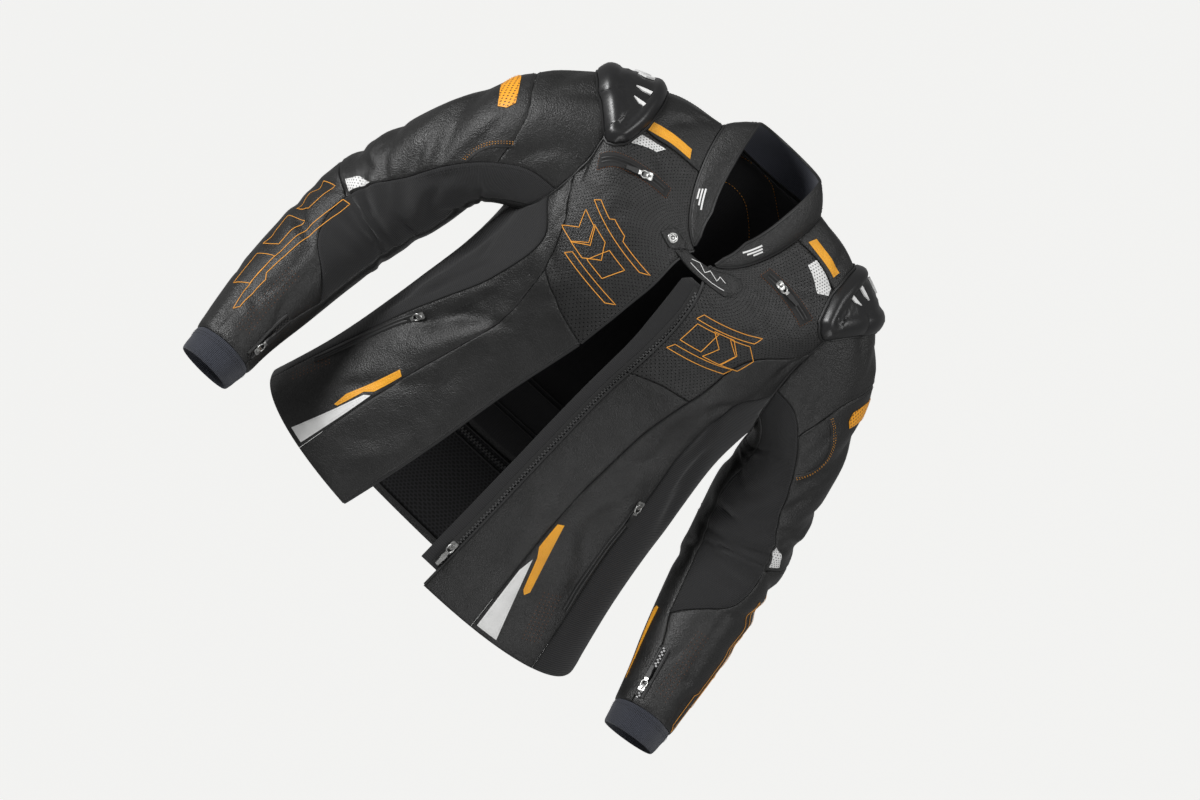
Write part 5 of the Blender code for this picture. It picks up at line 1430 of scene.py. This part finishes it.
def between(first, second, share=0.5):
    """The place at a share of the way between two places."""
    return (first[0] + (second[0] - first[0]) * share, first[1] + (second[1] - first[1]) * share)


def pull_tab(name, sheet, place, toward, stand_off, rubber):
    """Oval metal pull with a ribbed rubber end, on the CAD pull's own body."""
    point, out, along = local_frame(sheet, place, toward)
    across = np.cross(out, along)
    tilt = PULL_LIFT / PULL_LENGTH
    forward = along + out * tilt
    forward /= np.linalg.norm(forward)
    up = np.cross(forward, across)
    up *= np.sign(up @ out)
    origin = point + out * (stand_off + GAP + PULL_THICK / 2)
    metal = Heap()
    turns = np.linspace(0, 2 * pi, PULL_RING_STEPS, endpoint=False)
    ring = origin + forward * PULL_RING_WAY + np.outer(np.cos(turns), forward) * PULL_RING_LENGTH
    ring += np.outer(np.sin(turns), across) * PULL_RING_WIDTH
    tube(metal, np.concatenate([ring, ring[:1]]), np.tile(up, (PULL_RING_STEPS + 1, 1)), PULL_WIRE, 8)
    box_faces(metal, origin, forward, across, up, PULL_NECK)
    finish_part(metal, f"{name}_metal", "nickel", f"{name}_tab", name)
    end = Heap()
    length = PULL_LENGTH - GRIP_START
    sections = []
    for n in range(GRIP_RIBS + 1):
        grow = 1.0 if n % 2 else GRIP_WAIST
        taper = 0.75 + 0.25 * sin(pi * min(1.0, (n + 1) / 8))
        half, height = GRIP_HALF_WIDTH * grow * taper, GRIP_HALF_HEIGHT * grow
        sections.append((GRIP_START + length * n / GRIP_RIBS, half, -height, height))
    box_faces(end, origin, forward, across, up, sections)
    finish_part(end, f"{name}_grip", rubber, f"{name}_tab", None)
    return point, along, out


def finish_part(heap, name, slot, body, node_name):
    """Makes a heap into an object on a body of its own, in the place of a node if one is named."""
    made = heap.object(name, slot)
    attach(made, body)
    if node_name:
        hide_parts(node_name)


def cup(side):
    """Moulded cup with a bevelled rim round a sunk, studded middle."""
    name = SIDE_NAMES[side]
    sheet = Sheet(shoulder_surface(side), ARM_RADIAN, 1.0)
    outline = counter_clockwise(polyline(mirrored(CUP_OUTLINE, side), PATCH_STEP, sheet), sheet)
    web = Web(sheet, outline, step=CUP_MESH_STEP)
    inwards = web.edge
    rim = CUP_RISE * np.sin(np.clip(inwards / CUP_BEVEL_WAY, 0, 1) * pi / 2)
    sunk = CUP_SUNK * np.clip((inwards - CUP_SUNK_WAY) / CUP_SUNK_RUN, 0, 1)
    flat = web.flat / STUD_PITCH
    row = np.floor(flat[:, 1] / 0.87)
    x = (flat[:, 0] + (row % 2) * 0.5) % 1 - 0.5
    y = (flat[:, 1] / 0.87) % 1 - 0.5
    studs = STUD_RISE * np.clip(1 - (x ** 2 + y ** 2) / 0.16, 0, 1)
    studs *= np.clip((inwards - STUD_WAY) / 0.001, 0, 1)
    high = CUP_SEAT + CUP_RIM + rim - sunk + studs
    made = wall(f"shoulder_cup_{name}_shell", web, web.faces, CUP_SEAT, high, "moulded_plastic")
    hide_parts(f"shoulder_cup_{name}")
    marks = Heap()
    for place in CUP_MARKS:
        corners = [(x * side, y) for x, y in CUP_MARK]
        rows = shape_on(sheet, (place[0] * side, place[1]), corners, closed=False)
        loop = counter_clockwise(polygon(sheet, np.concatenate([rows, rows[:1]]))[:-1], sheet)
        with_height(marks, sheet, loop, CUP_SEAT + CUP_RIM + CUP_RISE - CUP_MARK_DROP, CUP_MARK_THICK)
    marks.object(f"cup_marks_{name}", "white_print")
    edge = Heap()
    ring = pull_in(outline, sheet, -0.0012)
    thread(edge, sheet, ring, *CUP_PIPING, closed=True)
    edge.object(f"cup_piping_{name}", "piping")


def with_height(heap, sheet, loop, low, thick):
    """A thin flat piece with its own edge, added to a heap."""
    web = Web(sheet, np.column_stack([loop[:, :2], np.full(len(loop), np.nan)]), step=0.003)
    top = web.base + web.out * (low + thick)
    bottom = web.base + web.out * low
    heap.add(np.concatenate([top, bottom]), closed_faces(web.faces, len(web.base)))


def chest_zip(heaps, side):
    """Chest zip of one side, its pull hanging from near the upper end."""
    name = SIDE_NAMES[side]
    rows = mirrored(CHEST_ZIP[side], side)
    loop = polyline(rows, PATCH_STEP, BODY)
    zip_body(f"chest_zip_{name}", BODY, loop, WELT_RISE, WELT_RIM)
    inner, outer = between(rows[1], rows[2]), between(rows[0], rows[3])
    middle = middle_line(between(inner, outer, 0.04), between(inner, outer, 0.96))
    welt_zip(heaps, BODY, loop, middle, "thread_brown")
    place = between(inner, outer, 0.3)
    point, along, out = pull_tab(f"chest_pull_{name}", BODY, place, outer, 0.0014, "black_rubber")
    slider(heaps["nickel"], point, along, out, 0.0012)


def pocket_zip(heaps, side):
    """Pocket zip of one side, its pull at the upper end."""
    name = SIDE_NAMES[side]
    rows = mirrored(POCKET_ZIP[side], side)
    loop = polyline(rows, PATCH_STEP, BODY)
    zip_body(f"pocket_zip_{name}", BODY, loop, WELT_RISE, WELT_RIM)
    ends = [between(rows[0], rows[5]), between(rows[1], rows[4]), between(rows[2], rows[3])]
    welt_zip(heaps, BODY, loop, smooth_line(ends, SEAM_STEP, BODY), "thread_black")
    top = (ends[0][0], ends[0][1] - 0.006)
    point, along, out = pull_tab(f"pocket_pull_{name}", BODY, top, ends[1], 0.0016, "black_rubber")
    slider(heaps["nickel"], point, along, out, 0.0014)


def cuff_zip(heaps, side):
    """Cuff zip of one sleeve: bare teeth between two lips, its pull at the hem."""
    name = SIDE_NAMES[side]
    sheet = SLEEVES[side]
    rows = mirrored(CUFF_ZIP, side)
    loop = polyline(rows, PATCH_STEP, sheet)
    zip_body(f"cuff_zip_{name}", sheet, loop, CUFF_ZIP_RISE, CUFF_ZIP_RIM)
    middle = middle_line(between(rows[0], rows[3]), between(rows[1], rows[2]))
    zip_teeth(heaps["dark_metal"], sheet, middle, 0.0009)
    for way in (-LIP_WAY, LIP_WAY):
        thread(heaps["piping"], sheet, beside(sheet, middle, way), LIP_RADIUS, 0.0010, flat=0.7, sides=8)
    frame_line = pull_in(counter_clockwise(loop, sheet), sheet, -0.0025)
    stitches(heaps["thread_black"], sheet, frame_line, ZIP_STITCH_LIFT, closed=True)
    place, toward = mirrored(CUFF_PULL, side)
    point, along, out = pull_tab(f"cuff_pull_{name}", sheet, place, toward, 0.0012, "black_rubber")
    slider(heaps["nickel"], point, along, out, 0.0010, 0.9)


def closure_details(heaps):
    """Zip half on the wind flap, snap, and the stitching and print of tab and strap."""
    loop = polyline(ZIP_OUTLINE, PATCH_STEP, BODY)
    depth = LEATHER + FLAP_CLEARANCE
    web = Web(BODY, loop, step=0.004)
    made = wall("main_zip_cloth", web, web.faces, GAP - depth, GAP + MAIN_TAPE - depth, "zip_tape")
    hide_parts("main_zip")
    cut_to_size(web, web.faces)
    line = smooth_line(ZIP_LINE, SEAM_STEP, BODY)
    zip_teeth(heaps["dark_metal"], BODY, line, GAP + MAIN_TAPE - depth)
    point, along, out = pull_tab("main_pull", BODY, *MAIN_PULL, -0.0011, "nickel")
    slider(heaps["nickel"], point, along, out, -0.0016)
    for outline, lift, ways in ((NECK_TAB, 0.0019, (0.0022, 0.0050)), (NECK_STRAP, 0.0030, (0.0022, 0.0048))):
        ring = counter_clockwise(polyline(outline, PATCH_STEP, BODY), BODY)
        for way in ways:
            stitches(heaps["thread_black"], BODY, pull_in(ring, BODY, way), lift, closed=True, **TAB_THREAD)
    for rows in STRAP_ART:
        fine_thread(heaps["white_print"], BODY, np.array(rows, dtype=float), 0.00045, 0.0031)
    fold = polygon(BODY, np.array(STRAP_FOLD, dtype=float))
    stitches(heaps["thread_black"], BODY, fold, 0.0030, **TAB_THREAD)
    snap()


def snap():
    """Ring snap with a sunk middle."""
    point, out, along = local_frame(BODY, SNAP_PLACE, (SNAP_PLACE[0] + 2, SNAP_PLACE[1]))
    across = np.cross(out, along)
    turns = np.linspace(0, 2 * pi, SNAP_STEPS, endpoint=False)
    heap = Heap()
    points, faces = [], []
    for radius, height in SNAP_PROFILE:
        ring = point + np.outer(np.cos(turns), along) * radius + np.outer(np.sin(turns), across) * radius
        points.append(ring + out * height)
    count = SNAP_STEPS
    last = count * (len(SNAP_PROFILE) - 1)
    for a in range(0, last, count):
        b = a + count
        faces += [(a + k, a + (k + 1) % count, b + (k + 1) % count, b + k) for k in range(count)]
    faces.append(tuple(reversed(range(count))))
    faces.append(tuple(last + k for k in range(count)))
    heap.add(np.concatenate(points), faces)
    made = heap.object("snap_ring", "nickel")
    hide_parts("neck_snap")


def collar_details(heaps):
    """Edge piping, stitching and the small marks at the collar's ends."""
    ring = counter_clockwise(polyline(COLLAR_OUTLINE, SEAM_STEP, COLLAR), COLLAR)
    thread(heaps["piping"], COLLAR, ring, *COLLAR_PIPING, closed=True)
    for way in COLLAR_ROWS:
        stitches(heaps["thread_black"], COLLAR, pull_in(ring, COLLAR, way), STITCH_LIFT, closed=True)
    for angle, share, side in COLLAR_MARKS:
        for shift, length, start in COLLAR_MARK_BARS:
            near, far = (start - length / 2) * side, (start + length / 2) * side
            low, high = -shift, COLLAR_MARK_WIDTH - shift
            rows = shape_on(COLLAR, (angle, share), ((near, low), (far, low), (far, high), (near, high)))
            loop = polygon(COLLAR, rows)[:-1]
            with_height(heaps["white_print"], COLLAR, counter_clockwise(loop, COLLAR), 0.0002, 0.0005)
    neck_angles = (14, 60, 120, 180, 240, 300, 346)
    neck = smooth_line([(angle, NECK_LEVEL - 0.004) for angle in neck_angles], SEAM_STEP, BODY)
    stitches(heaps["thread_black"], BODY, neck, STITCH_LIFT)


def lining_details(heaps):
    """Seams, zip and stitched lines on the inner face of the back."""
    inner = -LEATHER - GAP - FABRIC

    def across_back(level):
        return smooth_line([(angle, level) for angle in LINING_ANGLES], SEAM_STEP, BODY)
    for level, ways in LINING_SEAMS:
        line = across_back(level)
        for way in ways:
            thread(heaps["piping"], BODY, beside(BODY, line, way), 0.0011, inner - 0.0002)
    line = across_back(LINING_ZIP)
    zip_teeth(heaps["dark_metal"], BODY, line, inner - 0.0016, half=0.0030, height=0.0014)
    for way in (-0.009, 0.009):
        thread(heaps["piping"], BODY, beside(BODY, line, way), 0.0014, inner - 0.0003)
    for rows in LINING_ART:
        places = smooth_line(list(rows), SEAM_STEP, BODY)
        stitches(heaps["thread_orange"], BODY, places, inner - 0.0004, **LINING_THREAD)
    hem = smooth_line([(109, 0.010), (146, 0.008), (180, 0.008), (214, 0.008), (251, 0.010)], SEAM_STEP, BODY)
    thread(heaps["piping"], BODY, hem, 0.0028, inner - 0.0004)


def node(tree, kind, **values):
    made = tree.nodes.new(kind)
    for key, value in values.items():
        setattr(made, key, value)
    return made


def maths_node(tree, operation, first, second=0.0):
    made = node(tree, "ShaderNodeMath", operation=operation)
    for index, value in enumerate((first, second)):
        if isinstance(value, (int, float)):
            made.inputs[index].default_value = value
        else:
            tree.links.new(value, made.inputs[index])
    return made.outputs[0]


def base_material(name, colour, roughness, metallic=0.0):
    made = bpy.data.materials.new(name)
    made.use_nodes = True
    shader = made.node_tree.nodes["Principled BSDF"]
    shader.inputs["Base Color"].default_value = (*colour, 1)
    shader.inputs["Roughness"].default_value = roughness
    shader.inputs["Metallic"].default_value = metallic
    return made, made.node_tree, shader


def texture(tree, kind, scale, detail=2.0, source="Object"):
    place = node(tree, "ShaderNodeTexCoord")
    made = node(tree, kind)
    made.inputs["Scale"].default_value = scale
    if "Detail" in made.inputs:
        made.inputs["Detail"].default_value = detail
    tree.links.new(place.outputs[source], made.inputs["Vector"])
    return made


def bump(tree, shader, height, distance, strength=1.0):
    made = node(tree, "ShaderNodeBump")
    made.inputs["Distance"].default_value = distance
    made.inputs["Strength"].default_value = strength
    tree.links.new(height, made.inputs["Height"])
    tree.links.new(made.outputs["Normal"], shader.inputs["Normal"])


def vary(tree, shader, socket, source, low, high):
    """Runs a socket between two values with a texture."""
    mapped = node(tree, "ShaderNodeMapRange")
    mapped.inputs["From Min"].default_value = 0.3
    mapped.inputs["From Max"].default_value = 0.7
    mapped.inputs["To Min"].default_value = low
    mapped.inputs["To Max"].default_value = high
    tree.links.new(source, mapped.inputs["Value"])
    tree.links.new(mapped.outputs["Result"], shader.inputs[socket])


def tint(tree, shader, source, dark, light):
    """Runs the base colour between two colours with a texture."""
    mix = node(tree, "ShaderNodeMix", data_type="RGBA")
    mix.inputs[6].default_value = (*dark, 1)
    mix.inputs[7].default_value = (*light, 1)
    tree.links.new(source, mix.inputs[0])
    tree.links.new(mix.outputs[2], shader.inputs["Base Color"])


def dot_grid(tree, pitch, radius):
    """One inside the dots of a staggered grid, nought outside."""
    place = node(tree, "ShaderNodeTexCoord")
    split = node(tree, "ShaderNodeSeparateXYZ")
    tree.links.new(place.outputs["UV"], split.inputs[0])
    row = maths_node(tree, "DIVIDE", split.outputs[1], pitch * 0.87)
    odd = maths_node(tree, "MODULO", maths_node(tree, "FLOOR", row), 2.0)
    shift = maths_node(tree, "MULTIPLY", odd, 0.5)
    column = maths_node(tree, "ADD", maths_node(tree, "DIVIDE", split.outputs[0], pitch), shift)
    x = maths_node(tree, "SUBTRACT", maths_node(tree, "FRACT", column), 0.5)
    y = maths_node(tree, "SUBTRACT", maths_node(tree, "FRACT", row), 0.5)
    way = maths_node(tree, "SQRT", maths_node(tree, "ADD", maths_node(tree, "MULTIPLY", x, x),
                                              maths_node(tree, "MULTIPLY", y, y)))
    return maths_node(tree, "LESS_THAN", way, radius / pitch)


def leather(name, colour, roughness, grain, holes):
    """Pebbled leather; holes are the pitch and radius of its perforation."""
    made, tree, shader = base_material(name, colour, roughness)
    cells = texture(tree, "ShaderNodeTexVoronoi", PEBBLE_SCALE)
    wide = texture(tree, "ShaderNodeTexNoise", RUMPLE_SCALE, 4.0)
    height = maths_node(tree, "ADD", cells.outputs["Distance"],
                        maths_node(tree, "MULTIPLY", wide.outputs[0], RUMPLE))
    light = tuple(min(1.0, c * 1.25) for c in colour)
    dark = tuple(c * 0.8 for c in colour)
    tint(tree, shader, wide.outputs[0], dark, light)
    vary(tree, shader, "Roughness", wide.outputs[0], roughness - 0.07, roughness + 0.08)
    if holes:
        dots = dot_grid(tree, *holes)
        height = maths_node(tree, "SUBTRACT", height, maths_node(tree, "MULTIPLY", dots, 3.0))
        # The holes are painted near black: partly the dark backing seen through them, partly painted shade in
        # the holes.
        shade = node(tree, "ShaderNodeMix", data_type="RGBA")
        tree.links.new(dots, shade.inputs[0])
        tree.links.new(shader.inputs["Base Color"].links[0].from_socket, shade.inputs[6])
        shade.inputs[7].default_value = (0.001, 0.001, 0.001, 1)
        tree.links.new(shade.outputs[2], shader.inputs["Base Color"])
    bump(tree, shader, height, grain, 0.8)
    spread = texture(tree, "ShaderNodeTexNoise", GLOSS_SCALE, 2.0)
    gloss = maths_node(tree, "ADD", GLOSS_LEAST, maths_node(tree, "MULTIPLY", spread.outputs[0], GLOSS_SPAN))
    if holes:
        gloss = maths_node(tree, "MULTIPLY", gloss, maths_node(tree, "SUBTRACT", 1.0, dots))
    tree.links.new(gloss, shader.inputs["Specular IOR Level"])
    return made


def perforated(name, colour, hole, roughness, pitch, radius):
    """Cloth with a staggered grid of holes in another colour: the dark backing seen through them, with
    painted shade in the holes.
    """
    made, tree, shader = base_material(name, colour, roughness)
    dots = dot_grid(tree, pitch, radius)
    # The holes' colour is partly the backing seen through them, partly painted shade in the holes.
    tint(tree, shader, dots, colour, hole)
    bump(tree, shader, maths_node(tree, "SUBTRACT", 1.0, dots), 0.0005, 0.8)
    return made


def ribbed(name, dark, light, roughness, pitch, depth, direction):
    """Cloth with ribs a pitch apart along one way of the cut, its colour darker in the grooves as painted
    shade.
    """
    made, tree, shader = base_material(name, light, roughness)
    place = node(tree, "ShaderNodeTexCoord")
    split = node(tree, "ShaderNodeSeparateXYZ")
    tree.links.new(place.outputs["UV"], split.inputs[0])
    turn = maths_node(tree, "MULTIPLY", split.outputs[direction], 2 * pi / pitch)
    wave = maths_node(tree, "ADD", maths_node(tree, "MULTIPLY", maths_node(tree, "SINE", turn), 0.5), 0.5)
    # Painted shade: the colour follows the rib height, darker in the grooves between the ribs.
    tint(tree, shader, wave, dark, light)
    bump(tree, shader, wave, depth, 0.9)
    shader.inputs["Sheen Weight"].default_value = 0.15
    return made


def fine_finish(name, colour, roughness, metallic, scale, depth):
    """Thread, metal, rubber or plastic with a fine grain in its colour, gloss and relief."""
    made, tree, shader = base_material(name, colour, roughness, metallic)
    grain = texture(tree, "ShaderNodeTexNoise", scale, 3.0)
    dark = tuple(c * 0.8 for c in colour)
    light = tuple(min(1.0, c * 1.2) for c in colour)
    tint(tree, shader, grain.outputs[0], dark, light)
    vary(tree, shader, "Roughness", grain.outputs[0], roughness - 0.05, roughness + 0.06)
    bump(tree, shader, grain.outputs[0], depth, 0.6)
    return made


def make_materials():
    """Every material by name, each kind from its own table."""
    kinds = ((LEATHERS, leather), (PIERCED, perforated), (RIBBED, ribbed), (FINE_FINISHES, fine_finish))
    return {name: make(name, *finish) for table, make in kinds for name, finish in table.items()}


def view_axes():
    """Right, up and back of the view before its roll."""
    a, e = radians(VIEW_AZIMUTH), radians(VIEW_ELEVATION)
    right = Vector((cos(a), sin(a), 0))
    up = Vector((-sin(a) * sin(e), cos(a) * sin(e), cos(e)))
    back = Vector((sin(a) * cos(e), -cos(a) * cos(e), sin(e)))
    return right, up, back


def add_camera():
    """The camera at the photograph's angle; gives its own directions and the place it looks at."""
    right, up, back = view_axes()
    roll = radians(VIEW_ROLL)
    across = right * cos(roll) + up * sin(roll)
    above = up * cos(roll) - right * sin(roll)
    camera = bpy.data.objects.new("camera", bpy.data.cameras.new("camera"))
    camera.data.lens = LENS
    camera.data.sensor_width = SENSOR
    aim = right * AIM_RIGHT + up * AIM_UP
    distance = FRAME_WIDTH * LENS / SENSOR
    turn = Matrix((across, above, back)).transposed().to_4x4()
    camera.matrix_world = Matrix.Translation(aim + back * distance) @ turn
    bpy.context.collection.objects.link(camera)
    bpy.context.scene.camera = camera
    return across, above, back, aim


def add_light(name, place, aim, size, power):
    light = bpy.data.objects.new(name, bpy.data.lights.new(name, "AREA"))
    light.data.shape = "DISK"
    light.data.size = size
    light.data.energy = power
    light.location = place
    light.rotation_euler = (aim - place).to_track_quat("-Z", "Y").to_euler()
    bpy.context.collection.objects.link(light)


def add_backdrop(middle):
    """Pale dome round the cameras. Only they see it, so it neither lights nor shades the jacket."""
    dome = bmesh.new()
    bmesh.ops.create_icosphere(dome, subdivisions=BACKDROP_SPLITS, radius=BACKDROP_RADIUS)
    bmesh.ops.translate(dome, vec=middle, verts=dome.verts)
    mesh = bpy.data.meshes.new("backdrop")
    dome.to_mesh(mesh)
    dome.free()
    mesh.shade_smooth()
    backdrop = bpy.data.objects.new("backdrop", mesh)
    bpy.context.collection.objects.link(backdrop)
    backdrop.visible_diffuse = False
    backdrop.visible_glossy = False
    backdrop.visible_transmission = False
    backdrop.visible_shadow = False
    made, _, shader = base_material("backdrop", BACKDROP_COLOUR, 0.9)
    shader.inputs["Emission Color"].default_value = (*BACKDROP_COLOUR, 1)
    shader.inputs["Emission Strength"].default_value = BACKDROP_GLOW
    mesh.materials.append(made)


def add_stage():
    """Camera, backdrop, and the lights, placed along the camera's own directions."""
    across, above, back, aim = add_camera()
    add_backdrop(aim)
    for name, x, y, z, size, power in LIGHTS:
        add_light(name, aim + across * x + above * y + back * z, aim, size, power)
    world = bpy.data.worlds.new("world")
    bpy.context.scene.world = world
    world.use_nodes = True
    world.node_tree.nodes["Background"].inputs["Color"].default_value = (1, 1, 1, 1)
    world.node_tree.nodes["Background"].inputs["Strength"].default_value = WORLD_LIGHT
    bpy.context.scene.view_settings.view_transform = "Standard"


MATERIALS = make_materials()


def main():
    right = front_pieces(RIGHT)
    left = front_pieces(LEFT)
    back_panel(right, left)
    fronts = {RIGHT: right, LEFT: left}
    heaps = {slot: Heap() for slot in HEAP_SLOTS}
    for side in (RIGHT, LEFT):
        sleeve = sleeve_pieces(side)
        stitch_fronts(heaps, fronts[side], side)
        stitch_sleeve(heaps, sleeve, side)
        armhole_seam(heaps["piping"], side)
        chest_zip(heaps, side)
        pocket_zip(heaps, side)
        cuff_zip(heaps, side)
        cup(side)
    collar_pieces()
    neck_pieces()
    front_closure()
    closure_details(heaps)
    collar_details(heaps)
    lining_details(heaps)
    for slot, heap in heaps.items():
        heap.object(f"all_{slot}", slot)
    add_stage()


main()
